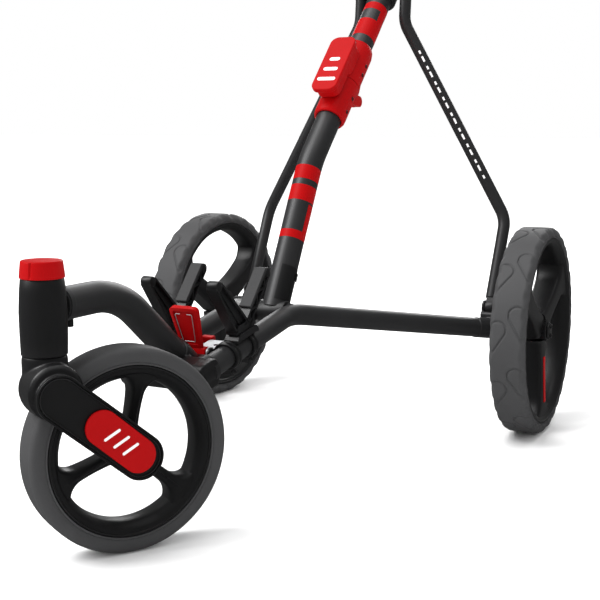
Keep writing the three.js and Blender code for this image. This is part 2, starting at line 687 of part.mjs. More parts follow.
function handleBlock() {
  const socket = rod('z', 22.5, MAST_TOP_S - 30, MAST_TOP_S + 18);
  const clampBody = rod('x', 19, -34, 34, [0, HANDLE_S]);
  const body = join(socket, clampBody);
  return cut(body, mastSpace(700, MAST_TOP_S + GAP), rod('x', HANDLE.outer + GAP, -60, 60, [0, HANDLE_S]));
}

piece(mast, 'handle_block', handleBlock(), BLACK);

const handleAt = kneePoint.clone().addScaledVector(upperAxis, HANDLE_S);
const handle = group(trolley, handleAt.x, handleAt.y, handleAt.z);
const { halfWidth: barHalf, reach, rise } = HANDLE;
const barCorners = [
  vector(-barHalf, reach, rise),
  vector(-barHalf, 0, 0),
  vector(barHalf, 0, 0),
  vector(barHalf, reach, rise),
];
piece(handle, 'handle_bar', tube(barCorners, HANDLE.outer, HANDLE.inner, HANDLE.bend), COATED);
const gripTurn = Math.atan2(rise, reach);
const barEnd = Math.hypot(reach, rise);
const gripSleeve = turnedX([
  [36, HANDLE.outer + GAP],
  [36, HANDLE.grip - 2],
  [40, HANDLE.grip],
  [barEnd - 2, HANDLE.grip],
  [barEnd + 4, HANDLE.grip - 4],
  [barEnd + 4, 0],
  [barEnd + GAP, 0],
  [barEnd + GAP, HANDLE.outer + GAP],
  [36, HANDLE.outer + GAP],
], 24);
gripSleeve.rotateZ(Math.PI / 2).rotateX(gripTurn).translate(barHalf, 0, 0);
pair(handle, 'grip', gripSleeve, PAD);

// ---------------------------------------------------------------- struts

function strut() {
  const lower = vector(STRUT.halfBottom, STRUT_PIVOT.y, STRUT_PIVOT.z);
  const lowBend = vector(STRUT.halfBottom, STRUT_LOW_BEND.y, STRUT_LOW_BEND.z);
  const highBend = vector(STRUT.halfTop, STRUT_HIGH_BEND.y, STRUT_HIGH_BEND.z);
  const top = kneePoint.clone().addScaledVector(upperAxis, YOKE_S).setX(STRUT.halfTop);
  const up = lowBend.clone().sub(lower).normalize();
  const down = highBend.clone().sub(top).normalize();
  const corners = [
    lower.clone().addScaledVector(up, 16),
    lowBend,
    highBend,
    top.clone().addScaledVector(down, 4),
  ];
  const bar = tube(corners, STRUT.outer, STRUT.inner, STRUT.bend, 12);
  const eye = rod('x', 9, 200, 212, [lower.y, lower.z], 20);
  const tang = box([200, 212], [-7, 7], [0, 30]).rotateX(-Math.atan2(up.y, up.z));
  tang.translate(0, lower.y, lower.z);
  const head = rod('x', 11, 28.6, 47.5, [top.y, top.z], 20);
  const drain = rod('y', 1.5, 0, 40, [STRUT.halfBottom, STRUT_PIVOT.z + 40], 8);
  const pinHole = rod('x', 4 + GAP, 190, 220, [lower.y, lower.z], 16);
  return cut(join(bar, eye, tang, head), pinHole, drain);
}

pair(trolley, 'strut', strut(), COATED);

export default trolley;
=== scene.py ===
"""Looks of the golf push trolley: detailed meshes and procedural materials around the CAD frame."""

import json
import math

import bmesh
import bpy
from mathutils import Matrix, Vector


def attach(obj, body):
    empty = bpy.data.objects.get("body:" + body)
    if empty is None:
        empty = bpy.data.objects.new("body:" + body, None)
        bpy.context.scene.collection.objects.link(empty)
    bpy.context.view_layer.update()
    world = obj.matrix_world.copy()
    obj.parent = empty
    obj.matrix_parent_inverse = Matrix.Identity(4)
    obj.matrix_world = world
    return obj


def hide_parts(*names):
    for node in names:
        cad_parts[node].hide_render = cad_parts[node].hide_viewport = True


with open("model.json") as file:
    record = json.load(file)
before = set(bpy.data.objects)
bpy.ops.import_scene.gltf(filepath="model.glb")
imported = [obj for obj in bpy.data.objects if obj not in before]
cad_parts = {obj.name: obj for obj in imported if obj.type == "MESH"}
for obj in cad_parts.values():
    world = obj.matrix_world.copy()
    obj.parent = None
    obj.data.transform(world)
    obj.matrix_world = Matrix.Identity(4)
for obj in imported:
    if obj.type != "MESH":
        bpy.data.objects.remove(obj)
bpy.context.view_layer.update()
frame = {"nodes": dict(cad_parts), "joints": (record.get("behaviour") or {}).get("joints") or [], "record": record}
joints = {joint["name"]: joint for joint in frame["joints"]}

# ------------------------------------------------------------------ the design's own frame
# Millimetres with the rear axle at y = 0, as in the CAD; DESIGN turns them into the row's metres.

MM = 0.001
REAR_AXLE_Y = joints["rear_right_spin"]["pos_m"][1]
DESIGN = Matrix.Translation((0, REAR_AXLE_Y, 0)) @ Matrix.Scale(MM, 4)
MIRROR = Matrix.Diagonal((-1, 1, 1, 1))


def at(x, y, z, about_x=0.0, about_z=0.0):
    """A place in the design's frame, turned by degrees about x and then about z."""
    turn = Matrix.Rotation(math.radians(about_z), 4, "Z") @ Matrix.Rotation(math.radians(about_x), 4, "X")
    return Matrix.Translation((x, y, z)) @ turn


STEERING = -30.5  # degrees, the way the front wheel stands at rest
TOE_OUT = 3.15
MAST_LEAN = -43.68
GAP = 0.3  # between pieces that touch
FRAME_FRONT, FRAME_BEND, FRAME_END = (42, -545, 158.9), (42, -317, 201), (205, -28.8, 151.5)
FRAME_SLOPE = math.degrees(math.atan2(FRAME_BEND[2] - FRAME_FRONT[2], FRAME_BEND[1] - FRAME_FRONT[1]))
HEAD_Y = -752
TRAIL = 84.7  # from the steering axis back to the front axle
REAR_HALF_TRACK = 273.6
REAR = {"radius": 150.0, "seat": 134.6, "half": 25.0, "hub": 19.0, "bore": 6.3, "dish": 12.0}
FRONT = {"radius": 110.0, "seat": 91.6, "half": 21.0, "hub": 17.0, "bore": 5.3, "dish": 14.5}

HEAD = at(0, HEAD_Y, 0)
SWIVEL = at(0, HEAD_Y, 0, about_z=STEERING)
FRONT_WHEEL = SWIVEL @ at(0, TRAIL, FRONT["radius"])
JUNCTION = at(0, FRAME_FRONT[1], FRAME_FRONT[2], about_x=FRAME_SLOPE)
KNEE = Vector((0, -180.8, 394.4))  # where the mast bends
MAST = at(*KNEE, about_x=MAST_LEAN)
REAR_WHEEL = at(REAR_HALF_TRACK, 0, REAR["radius"], about_z=TOE_OUT)
MAST_PIVOT = Vector((0, -285, 196))
LOWER_AXIS = (KNEE - MAST_PIVOT).normalized()
UPPER_AXIS = MAST.to_3x3() @ Vector((0, 0, 1))
HANDLE_S = 795  # the handle's axis, along the mast from its knee
HANDLE = Matrix.Translation(KNEE + UPPER_AXIS * HANDLE_S)

# ------------------------------------------------------------------ materials


def linear(r, g, b):
    """An sRGB colour of 0 to 255 as linear light."""
    return tuple(((c / 255 + 0.055) / 1.055) ** 2.4 if c > 10 else c / 3294.6 for c in (r, g, b))


def material(
        name, colour, roughness, metallic=0.0, specular=0.5, grain=900, bump=0.08, blotch=0.12, edge_wear_and_highlight=0.0,
        brushed=False):
    """A moulded, painted or metal surface: fine grain, uneven gloss and tone, and paler edges (wear, and a painted
    highlight on the black moulding).
    """
    made = bpy.data.materials.new(name)
    made.use_nodes = True
    nodes, links = made.node_tree.nodes, made.node_tree.links
    shader = nodes["Principled BSDF"]
    place = nodes.new("ShaderNodeTexCoord")
    stretch = nodes.new("ShaderNodeMapping")
    stretch.inputs["Scale"].default_value = (1, 1, 12) if brushed else (1, 1, 1)
    links.new(place.outputs["Object"], stretch.inputs["Vector"])

    fine = nodes.new("ShaderNodeTexNoise")
    fine.inputs["Scale"].default_value = grain
    fine.inputs["Detail"].default_value = 3
    broad = nodes.new("ShaderNodeTexNoise")
    broad.inputs["Scale"].default_value = 22
    broad.inputs["Detail"].default_value = 5
    for texture in (fine, broad):
        links.new(stretch.outputs["Vector"], texture.inputs["Vector"])

    tone = nodes.new("ShaderNodeMapRange")
    tone.inputs["From Min"].default_value = 0.3
    tone.inputs["From Max"].default_value = 0.7
    tone.inputs["To Min"].default_value = 1 - blotch
    tone.inputs["To Max"].default_value = 1 + blotch
    links.new(broad.outputs["Fac"], tone.inputs["Value"])
    tinted = nodes.new("ShaderNodeVectorMath")
    tinted.operation = "SCALE"
    tinted.inputs[0].default_value = colour
    links.new(tone.outputs["Result"], tinted.inputs["Scale"])

    # Paler colour on sharp edges: wear where the amount is small, a painted highlight along the edges where it is
    # large.
    edge = nodes.new("ShaderNodeNewGeometry")
    worn_or_highlit_edge = nodes.new("ShaderNodeMapRange")
    worn_or_highlit_edge.inputs["From Min"].default_value = 0.53
    worn_or_highlit_edge.inputs["From Max"].default_value = 0.62
    worn_or_highlit_edge.inputs["To Max"].default_value = edge_wear_and_highlight
    links.new(edge.outputs["Pointiness"], worn_or_highlit_edge.inputs["Value"])
    mix = nodes.new("ShaderNodeMix")
    mix.data_type = "RGBA"
    mix.inputs["B"].default_value = (*(min(1, c * 2.2 + 0.03) for c in colour), 1)
    links.new(worn_or_highlit_edge.outputs["Result"], mix.inputs["Factor"])
    links.new(tinted.outputs["Vector"], mix.inputs["A"])
    links.new(mix.outputs["Result"], shader.inputs["Base Color"])

    gloss = nodes.new("ShaderNodeMapRange")
    gloss.inputs["From Min"].default_value = 0.3
    gloss.inputs["From Max"].default_value = 0.7
    gloss.inputs["To Min"].default_value = roughness - 0.05
    gloss.inputs["To Max"].default_value = roughness + 0.05
    links.new(fine.outputs["Fac"], gloss.inputs["Value"])
    links.new(gloss.outputs["Result"], shader.inputs["Roughness"])
    relief = nodes.new("ShaderNodeBump")
    relief.inputs["Strength"].default_value = bump
    relief.inputs["Distance"].default_value = 0.0004
    links.new(fine.outputs["Fac"], relief.inputs["Height"])
    links.new(relief.outputs["Normal"], shader.inputs["Normal"])
    shader.inputs["Metallic"].default_value = metallic
    shader.inputs["Specular IOR Level"].default_value = specular
    return made


LOOKS = {
    "coated_tube": material(
        "satin_powder_coat", linear(42, 42, 43), 0.42, 0.35, grain=1400, bump=0.1, blotch=0.05, edge_wear_and_highlight=0.06),
    # The black moulding's paler edges are a painted highlight along its rims, lips and ribs.
    "black_plastic": material(
        "black_moulding", linear(18, 18, 19), 0.4, 0.0, 0.35, grain=1800, bump=0.15, blotch=0.08, edge_wear_and_highlight=0.3),
    "red_plastic": material(
        "red_moulding", linear(160, 5, 8), 0.45, 0.0, 0.06, grain=700, bump=0.04, blotch=0.03, edge_wear_and_highlight=0.01),
    "tyre": material(
        "grey_tread", linear(61, 61, 62), 0.66, 0.0, 0.3, grain=1100, bump=0.2, blotch=0.05, edge_wear_and_highlight=0.12),
    "pad_rubber": material(
        "pad_rubber", linear(42, 42, 43), 0.62, 0.0, 0.3, grain=900, bump=0.3, blotch=0.06, edge_wear_and_highlight=0.08),
    "steel": material(
        "zinc_plate", linear(158, 160, 163), 0.38, 0.5, grain=500, bump=0.1, edge_wear_and_highlight=0.2, brushed=True),
    "bronze": material("sintered_bronze", linear(150, 118, 70), 0.5, 0.9, grain=1500, bump=0.3),
    "white_print": material("white_print", linear(236, 236, 236), 0.5, grain=900, bump=0.05, blotch=0.03),
}
slots = {entry["node"]: entry["material_slot"] for entry in frame["record"]["subparts"]}
for node in frame["nodes"].values():
    node.data.materials.clear()
    node.data.materials.append(LOOKS[slots[node.name]])

# ------------------------------------------------------------------ mesh tools


def piece(name, solids, body, look, place=Matrix.Identity(4), replaces=(), bevel=0.0, sharp=35, slot=None):
    """Turns bmesh shells in millimetres into one object that rides a CAD body."""
    mesh = bpy.data.meshes.new(name)
    whole = bmesh.new()
    for solid in solids:
        shell = bpy.data.meshes.new("shell")
        solid.to_mesh(shell)
        solid.free()
        whole.from_mesh(shell)
        bpy.data.meshes.remove(shell)
    whole.transform(DESIGN @ place)
    bmesh.ops.recalc_face_normals(whole, faces=whole.faces)
    whole.to_mesh(mesh)
    whole.free()
    mesh.polygons.foreach_set("use_smooth", [True] * len(mesh.polygons))
    mesh.set_sharp_from_angle(angle=math.radians(sharp))
    made = bpy.data.objects.new(name, mesh)
    bpy.context.scene.collection.objects.link(made)
    mesh.materials.append(LOOKS[look])
    if bevel:
        rounding = made.modifiers.new("rounding", "BEVEL")
        rounding.width = bevel * MM
        rounding.segments = 3
        rounding.limit_method = "ANGLE"
        rounding.angle_limit = math.radians(sharp)
        rounding.harden_normals = True
    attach(made, body)
    if replaces:
        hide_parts(*replaces)
    return made


def both_sides(name, make, body, look, place=Matrix.Identity(4), replaces=None, **more):
    """The same piece on the right and, mirrored, on the left. {} in body or replaces stands for the side."""
    pair = []
    for side, flip in (("right", Matrix.Identity(4)), ("left", MIRROR)):
        stands_for = [node.format(side) for node in replaces or ()]
        made = piece(f"{name}_{side}", make(), body.format(side), look, flip @ place, stands_for, **more)
        pair.append(made)
    return pair


# Each turns a shape made along z to lie along the named axis.
AXES = {
    "x": Matrix(((0, 0, 1, 0), (1, 0, 0, 0), (0, 1, 0, 0), (0, 0, 0, 1))),
    "y": Matrix(((0, 1, 0, 0), (0, 0, 1, 0), (1, 0, 0, 0), (0, 0, 0, 1))),
    "z": Matrix.Identity(4),
}


def turned(profile, axis="x", segments=96, relief=None, centre=(0, 0, 0)):
    """A closed profile of (along the axis, radius) turned about the axis.

    relief(angle, along, radius) is added to the radius.
    """
    bm = bmesh.new()
    rings = []
    for i in range(segments):
        angle = 2 * math.pi * i / segments
        ring = []
        for along, radius in profile:
            r = radius + (relief(angle, along, radius) if relief else 0)
            ring.append(bm.verts.new((r * math.cos(angle), r * math.sin(angle), along)))
        rings.append(ring)
    count = len(profile)
    for i in range(segments):
        here, after = rings[i], rings[(i + 1) % segments]
        for j in range(count):
            k = (j + 1) % count
            bm.faces.new((here[j], here[k], after[k], after[j]))
    bmesh.ops.remove_doubles(bm, verts=bm.verts, dist=1e-4)
    bmesh.ops.dissolve_degenerate(bm, edges=bm.edges, dist=1e-5)
    bm.transform(Matrix.Translation(centre) @ AXES[axis])
    return bm


def rod(axis, radius, start, end, centre=(0, 0, 0), edge=0.8, segments=48):
    """A round bar with softened ends."""
    bite = edge * 0.3
    profile = [(start, 0), (start, radius - edge), (start + bite, radius - bite), (start + edge, radius)]
    profile += [(end - edge, radius), (end - bite, radius - bite), (end, radius - edge), (end, 0)]
    return turned(profile, axis, segments, centre=centre)


def prism(outline, low, high, axis="x", cut=None):
    """A flat outline raised from low to high along an axis; cut is a smaller outline left open."""
    bm = bmesh.new()
    count = len(outline)
    if cut is None:
        base = [bm.verts.new((x, y, low)) for x, y in outline]
        top = [bm.verts.new((x, y, high)) for x, y in outline]
        bm.faces.new(reversed(base))
        bm.faces.new(top)
        for i in range(count):
            j = (i + 1) % count
            bm.faces.new((base[i], base[j], top[j], top[i]))
    else:
        rings = [[bm.verts.new((x, y, z)) for x, y in loop] for z in (low, high) for loop in (outline, cut)]
        for i in range(count):
            j = (i + 1) % count
            for a, b in ((0, 1), (1, 3), (3, 2), (2, 0)):
                bm.faces.new((rings[a][i], rings[a][j], rings[b][j], rings[b][i]))
    bm.transform(AXES[axis])
    return bm


def lofted(bm, rings):
    """Joins rings of the same count of vertices by a skin and closes both ends."""
    count = len(rings[0])
    for here, after in zip(rings, rings[1:]):
        for j in range(count):
            k = (j + 1) % count
            bm.faces.new((here[j], here[k], after[k], after[j]))
    bm.faces.new(rings[0])
    bm.faces.new(rings[-1])


def block(x, y, z):
    """A box from three (low, high) ranges."""
    return prism([(y[0], z[0]), (y[1], z[0]), (y[1], z[1]), (y[0], z[1])], x[0], x[1])


def arc(cx, cy, radius, start, end, steps=12):
    """Points of an arc, in degrees."""
    angles = [math.radians(start + (end - start) * i / steps) for i in range(steps + 1)]
    return [(cx + radius * math.cos(a), cy + radius * math.sin(a)) for a in angles]


def capsule(a, b, radius, steps=16):
    """The outline of a long hole with round ends at a and b."""
    lean = math.degrees(math.atan2(b[1] - a[1], b[0] - a[0]))
    return arc(*b, radius, lean - 90, lean + 90, steps) + arc(*a, radius, lean + 90, lean + 270, steps)


def rounded(x0, y0, x1, y1, r, steps=8):
    """A rectangle's outline with round corners."""
    points = arc(x1 - r, y1 - r, r, 0, 90, steps) + arc(x0 + r, y1 - r, r, 90, 180, steps)
    return points + arc(x0 + r, y0 + r, r, 180, 270, steps) + arc(x1 - r, y0 + r, r, 270, 360, steps)


def bent_path(corners, bend, steps=14):
    """Stations (point, heading) along straight runs joined by round bends."""
    corners = [Vector(c) for c in corners]
    headings = [(b - a).normalized() for a, b in zip(corners, corners[1:])]
    stations = [(corners[0], headings[0])]
    for corner, arriving, leaving in zip(corners[1:-1], headings, headings[1:]):
        angle = arriving.angle(leaving)
        inward = (leaving - arriving * math.cos(angle)).normalized()
        start = corner - arriving * bend * math.tan(angle / 2)
        for i in range(steps + 1):
            turn = angle * i / steps
            point = start + arriving * bend * math.sin(turn) + inward * bend * (1 - math.cos(turn))
            stations.append((point, arriving * math.cos(turn) + inward * math.sin(turn)))
    stations.append((corners[-1], headings[-1]))
    return stations


def swept(stations, outer, inner=0.0, sides=48, across=Vector((1, 0, 0)), start=0.0, end=360.0):
    """A tube, or part of its wall from one angle to another, along the stations."""
    bm = bmesh.new()
    whole = end - start >= 360
    count = sides if whole else sides + 1
    rings = []
    for point, heading in stations:
        side = (across - heading * across.dot(heading)).normalized()
        up = heading.cross(side)
        for radius in (outer, inner) if inner else (outer,):
            ring = []
            for i in range(count):
                angle = math.radians(start + (end - start) * i / sides)
                ring.append(bm.verts.new(point + radius * (side * math.cos(angle) + up * math.sin(angle))))
            rings.append(ring)
    walls = 2 if inner else 1
    spans = range(count) if whole else range(count - 1)
    for k in range(len(rings) - walls):
        for i in spans:
            j = (i + 1) % count
            bm.faces.new((rings[k][i], rings[k][j], rings[k + walls][j], rings[k + walls][i]))
    if inner:
        for first in (0, len(rings) - 2):
            for i in spans:
                j = (i + 1) % count
                bm.faces.new((rings[first][i], rings[first][j], rings[first + 1][j], rings[first + 1][i]))
        if not whole:
            for k in range(0, len(rings) - 2, 2):
                for i in (0, count - 1):
                    bm.faces.new((rings[k][i], rings[k + 1][i], rings[k + 3][i], rings[k + 2][i]))
    else:
        bm.faces.new(rings[0])
        bm.faces.new(rings[-1])
    return bm


def mirrored(profile):
    """The other half of a symmetrical profile."""
    return [(-first, second) for first, second in reversed(profile)]


def tilted(bm, matrix):
    """The shell after a move or a turn."""
    bm.transform(matrix)
    return bm


def cap_screw(axis, x, y, z, radius=3.2, height=2.2):
    """A round socket screw head standing on a face, with its hexagonal socket."""
    profile = [(0, radius), (height * 0.7, radius), (height, radius * 0.8), (height, radius * 0.5)]
    profile += [(height * 0.3, radius * 0.45), (height * 0.3, 0), (0, 0)]
    return turned(profile, axis, 24, centre=(x, y, z))


def one_skin(obj, voxel):
    """Melts the overlapping shells of a moulding into one skin."""
    remesh = obj.modifiers.new("one_skin", "REMESH")
    remesh.mode = "VOXEL"
    remesh.voxel_size = voxel * MM
    remesh.use_smooth_shade = True


def carved(obj, cutter, place):
    """Takes a shell in millimetres out of an object; it cuts fully only if closed and facing outward."""
    mesh = bpy.data.meshes.new("cutter")
    cutter.transform(DESIGN @ place)
    bmesh.ops.recalc_face_normals(cutter, faces=cutter.faces)
    cutter.to_mesh(mesh)
    cutter.free()
    tool = bpy.data.objects.new("cutter", mesh)
    bpy.context.scene.collection.objects.link(tool)
    hollow = obj.modifiers.new("hollow", "BOOLEAN")
    hollow.object = tool
    bpy.context.view_layer.update()
    left = bpy.data.meshes.new_from_object(obj.evaluated_get(bpy.context.evaluated_depsgraph_get()))
    obj.modifiers.clear()
    obj.data = left
    bpy.data.objects.remove(tool)
    bpy.data.meshes.remove(mesh)


def fillets(obj, passes):
    """Softens the corners of a fine skin."""
    smooth = obj.modifiers.new("fillets", "SMOOTH")
    smooth.factor = 0.5
    smooth.iterations = passes


def softened(obj, voxel, passes):
    """One skin with small fillets where its shells met."""
    one_skin(obj, voxel)
    fillets(obj, passes)


# ------------------------------------------------------------------ wheels

TEARDROPS = 11  # round each row of the rear tread
REAR_SPOKE = {"waist": 17, "fillet": 24, "depth": 16.5, "ridge": 0.05}
FRONT_SPOKE = {"waist": 8.0, "fillet": 18, "depth": 9.5, "ridge": 0.28, "square": 0.55}
REAR_SPOKE_ANGLES = (30, 150, 270)
FRONT_SPOKE_ANGLES = (79, 199, 319)


def smooth_step(low, high, value):
    """0 below low, 1 above high and a smooth rise between them."""
    t = min(1, max(0, (value - low) / (high - low)))
    return t * t * (3 - 2 * t)


def teardrop_distance(across, along):
    """Distance in mm from a teardrop's outline: a round head and two straight sides that meet in a point."""
    head, tail = 12.0, 36.0
    tip = (9.0, -tail)
    reach = math.hypot(*tip)
    lean = math.atan2(tip[1], tip[0])
    opening = math.acos(head / reach)
    angle = math.atan2(along, across) - lean
    angle = (angle + math.pi) % (2 * math.pi) - math.pi
    if abs(angle) > opening:
        return abs(math.hypot(across, along) - head)
    touch = lean + math.copysign(opening, angle)
    ax, ay = head * math.cos(touch), head * math.sin(touch)
    dx, dy = tip[0] - ax, tip[1] - ay
    t = min(1, max(0, ((across - ax) * dx + (along - ay) * dy) / (dx * dx + dy * dy)))
    return math.hypot(across - ax - t * dx, along - ay - t * dy)


def rear_tread(angle, along, radius):
    """Engraved teardrops in two staggered rows and notches round both shoulders."""
    if radius < REAR["seat"] + 4:
        return 0
    pitch = 2 * math.pi / TEARDROPS
    phase = angle + (0 if along > 0 else pitch * 0.75)
    near = (phase + pitch / 2) % pitch - pitch / 2
    groove = 0.0
    for shift in (-pitch, 0, pitch):
        distance = teardrop_distance(abs(along) - 13.0, -(near + shift) * REAR["radius"])
        groove = max(groove, 1 - smooth_step(0.5, 1.9, distance))
    notch = smooth_step(17, 23, abs(along)) * (0.5 + 0.5 * math.cos(phase * TEARDROPS * 3)) ** 2
    return -1.5 * groove * smooth_step(140.0, 146.0, radius) - 2.6 * notch


def tyre_profile(wheel, shoulder):
    """Closed section of a tyre: bead, ridged sidewall, round shoulder and crown."""
    seat, half, radius = wheel["seat"], wheel["half"], wheel["radius"]
    wall = [(half - 5.0, seat), (half - 1.2, seat + 0.6), (half - 0.9, seat + 2.2), (half - 1.5, seat + 2.8)]
    wall += [(half - 0.4, seat + 4.0), (half, (seat + radius) / 2)]
    wall += arc(half - shoulder, radius - shoulder, shoulder, 0, 75, 5)
    crown_half, crown_edge = wall[-1]
    tread = []
    steps = 46
    for i in range(1, steps):
        t = 1 - 2 * i / steps
        tread.append((crown_half * t, radius - (radius - crown_edge) * abs(t) ** 3.4))
    return wall + tread + mirrored(wall)


def rim_profile(wheel, lip):
    """Closed section of a rim: flat seat under the tyre, rolled lips and a dished inner barrel."""
    seat, edge, depth = wheel["seat"] - GAP, wheel["half"] - 1.5, wheel["dish"]
    right = [(edge - 2.6, seat), (edge - 0.4, seat - 0.2), (edge + 0.3, seat - 1.2), (edge + 0.3, seat - 2.4)]
    right += [(edge - 0.6, seat - 3.0), (edge - 1.0, seat - lip), (edge - 1.8, seat - lip - 1.0)]
    right += [(edge - 8, seat - depth + 1.2), (edge * 0.4, seat - depth)]
    return right + [(0, seat - depth - 0.3)] + mirrored(right)


def spoke_run(wheel):
    """The radii that a spoke runs between, one inside the hub and one inside the rim."""
    return wheel["hub"] - 5, wheel["seat"] - 8


def spoke_depth(wheel, depth, t):
    """Half the depth of a spoke across the wheel, growing from the hub (t = 0) to the rim (t = 1)."""
    return depth + (wheel["half"] - 4.5 - depth) * t ** 1.3


def spoke(wheel, angle, waist, fillet, depth, ridge, square=0.28):
    """A moulded spoke with a ridge down each face and round fillets at the rim.

    A small square gives flat faces with crisp edges; 1 gives an oval section.
    """
    bm = bmesh.new()
    start, end = spoke_run(wheel)
    rim = wheel["seat"] - wheel["dish"]
    rings = []
    steps, sides = 40, 32
    for i in range(steps + 1):
        t = math.sin(math.pi / 2 * i / steps)
        r = start + (end - start) * t
        climb = min(1.0, max(0.0, (r - rim + fillet) / fillet))
        swell = 1 - math.sqrt(1 - climb * climb)
        half_width = waist * (1.15 - 0.3 * math.sin(math.pi * min(1, t * 1.1))) + fillet * swell
        half_depth = spoke_depth(wheel, depth, t)
        ring = []
        for j in range(sides):
            a = 2 * math.pi * j / sides
            c, s = math.cos(a), math.sin(a)
            across = half_width * math.copysign(abs(c) ** (square + 0.12), c)
            crest = 1 + ridge * max(0, 1 - abs(across) / (half_width * 0.35)) * (1 - swell)
            ring.append(bm.verts.new((half_depth * math.copysign(abs(s) ** square, s) * crest, r, across)))
        rings.append(ring)
    lofted(bm, rings)
    return tilted(bm, Matrix.Rotation(math.radians(angle), 4, "X"))


def fluted(angle, along, radius):
    """Flutes round the inner half of the hub barrel."""
    return 0.7 * math.cos(24 * angle) if -14 < along < -5 else 0


def hub(wheel, flutes=None):
    """The hub barrel, broad on the inner side and smaller on the outer."""
    inner, outer, bore, w = wheel["hub"] + 3, wheel["hub"] - 4, wheel["bore"] + 3, wheel["half"] - 3
    profile = [(-w, bore), (-w, inner - 2), (-w + 1, inner), (-w + 5, inner), (-w + 6, inner - 1)]
    profile += [(-13, inner - 1), (-8, inner - 1), (-3, inner - 1), (-2, inner), (1, inner)]
    profile += [(2, inner - 1), (8, outer), (w - 1, outer), (w, outer - 1), (w, bore)]
    return turned(profile, "x", 192, flutes)


def rear_rim():
    shells = [turned(rim_profile(REAR, 5.2), "x", 160), hub(REAR, fluted)]
    return shells + [spoke(REAR, angle, **REAR_SPOKE) for angle in REAR_SPOKE_ANGLES]


def rear_tyre():
    return [turned(tyre_profile(REAR, 8.5), "x", 720, rear_tread)]


def front_rim():
    shells = [turned(rim_profile(FRONT, 7.0), "x", 128), hub(FRONT)]
    return shells + [spoke(FRONT, angle, **FRONT_SPOKE) for angle in FRONT_SPOKE_ANGLES]


def accent():
    """A red inlay down the outer face of the spoke that points at the ground."""
    bm = bmesh.new()
    start, end = spoke_run(REAR)
    half, steps = 4.6, 16
    rings = []
    for i in range(steps + 1):
        t = 0.22 + 0.6 * i / steps
        face = spoke_depth(REAR, REAR_SPOKE["depth"], t) * (1 + REAR_SPOKE["ridge"])
        section = [(-half, face - 1.6), (half, face - 1.6), (half, face + 0.3), (-half, face + 0.3)]
        rings.append([bm.verts.new((x, start + (end - start) * t, across)) for across, x in section])
    lofted(bm, rings)
    return [tilted(bm, Matrix.Rotation(math.radians(REAR_SPOKE_ANGLES[-1]), 4, "X"))]


def hub_cap():
    cover = turned([(22.3, 0), (22.3, 11.4), (23.2, 12), (24.8, 11.6), (25.5, 10), (25.5, 0)], "x", 64)
    return [cover] + [cap_screw("x", 25.4, 0, z, 3.6, 2.6) for z in (-7, 7)]


both_sides("rear_rim_look", rear_rim, "rear_wheel_{}", "black_plastic", REAR_WHEEL, ["rear_rim_{}"])
both_sides("rear_tyre_look", rear_tyre, "rear_wheel_{}", "tyre", REAR_WHEEL, ["rear_tyre_{}"], sharp=60)
both_sides("rear_accent", accent, "rear_wheel_{}", "red_plastic", REAR_WHEEL, bevel=0.3)
both_sides("rear_hub_cap_look", hub_cap, "rear_wheel_{}", "black_plastic", REAR_WHEEL, ["rear_hub_cap_{}"])
piece("front_rim_look", front_rim(), "front_wheel", "black_plastic", FRONT_WHEEL, ["front_rim"])
front_tyre = turned(tyre_profile(FRONT, 8), "x", 160)
piece("front_tyre_look", [front_tyre], "front_wheel", "tyre", FRONT_WHEEL, ["front_tyre"], sharp=60)

# ------------------------------------------------------------------ head and fork

barrel = [(218.9, 14.5), (218.9, 22.6), (219.7, 23.4), (241, 24.0), (263, 24.2)]
barrel += [(283, 23.2), (295.6, 21.9), (296.5, 21.2), (296.5, 14.5)]
piece("head_barrel_look", [turned(barrel, "z", 96)], "chassis", "black_plastic", HEAD, ["head_barrel"])


def knob_grooves(angle, along, radius):
    """Three upright grooves, evenly spaced round the side."""
    if radius < 21 or along < 299:
        return 0
    pitch = 2 * math.pi / 3
    near = abs((angle + pitch / 2) % pitch - pitch / 2) * radius
    return -1.1 * (1 - smooth_step(0.7, 1.5, near))


knob = [(296.8, 17), (296.8, 22.2), (297.3, 22.8), (300, 22.7), (302, 22.5), (308, 21.8), (312.8, 21.3)]
knob += [(313.9, 20.9), (314.4, 20.2), (314.5, 19.4), (314.7, 10), (314.8, 0), (309.5, 0), (309.5, 17)]
KNOB = HEAD @ at(0, 0, 0, about_z=39)
knob = turned(knob, "z", 240, knob_grooves)
piece("head_knob_look", [knob], "head_knob", "red_plastic", KNOB, ["head_knob"])

ARM_TOP, AXLE = (0, 181), (TRAIL, FRONT["radius"])
shoulder = [(-17, 0), (-16, 12), (-12, 21), (-5, 27), (3, 28.8), (32, 28.8), (36, 25), (36, 0)]
neck = [(190, 0), (190, 23), (214, 23.2), (218.2, 22.6), (218.6, 21.5), (218.6, 9), (196, 9), (196, 0)]
fork_shells = [
    turned(shoulder, "x", 72, centre=(0, 0, 185)),
    turned(neck, "z", 72),
    prism(capsule(ARM_TOP, AXLE, 23.6, 24), 26, 41.5),
    rod("x", 11, 21.8, 28, (0, *AXLE)),
]
fork = piece("fork_arm_look", fork_shells, "front_swivel", "black_plastic", SWIVEL, ["fork_arm"])
one_skin(fork, 1.3)
# A known fault: this shell is inside out, with a loose edge on its axis, so the cut is
# only partial and the shoulder still reaches into the front tyre.
wheel_arch = rod("x", FRONT["radius"] + 3.5, -70, 24.3, (0, *AXLE), segments=128)
carved(fork, wheel_arch, SWIVEL)
fillets(fork, 5)

lips = [
    prism(capsule(ARM_TOP, AXLE, 24.4, 32), 40.5, 44.2, cut=capsule(ARM_TOP, AXLE, 22.2, 32)),
    prism(capsule(ARM_TOP, AXLE, 21.4, 32), 40.5, 43.2, cut=capsule(ARM_TOP, AXLE, 20.0, 32)),
]
piece("fork_arm_lips", lips, "front_swivel", "black_plastic", SWIVEL, bevel=0.7)

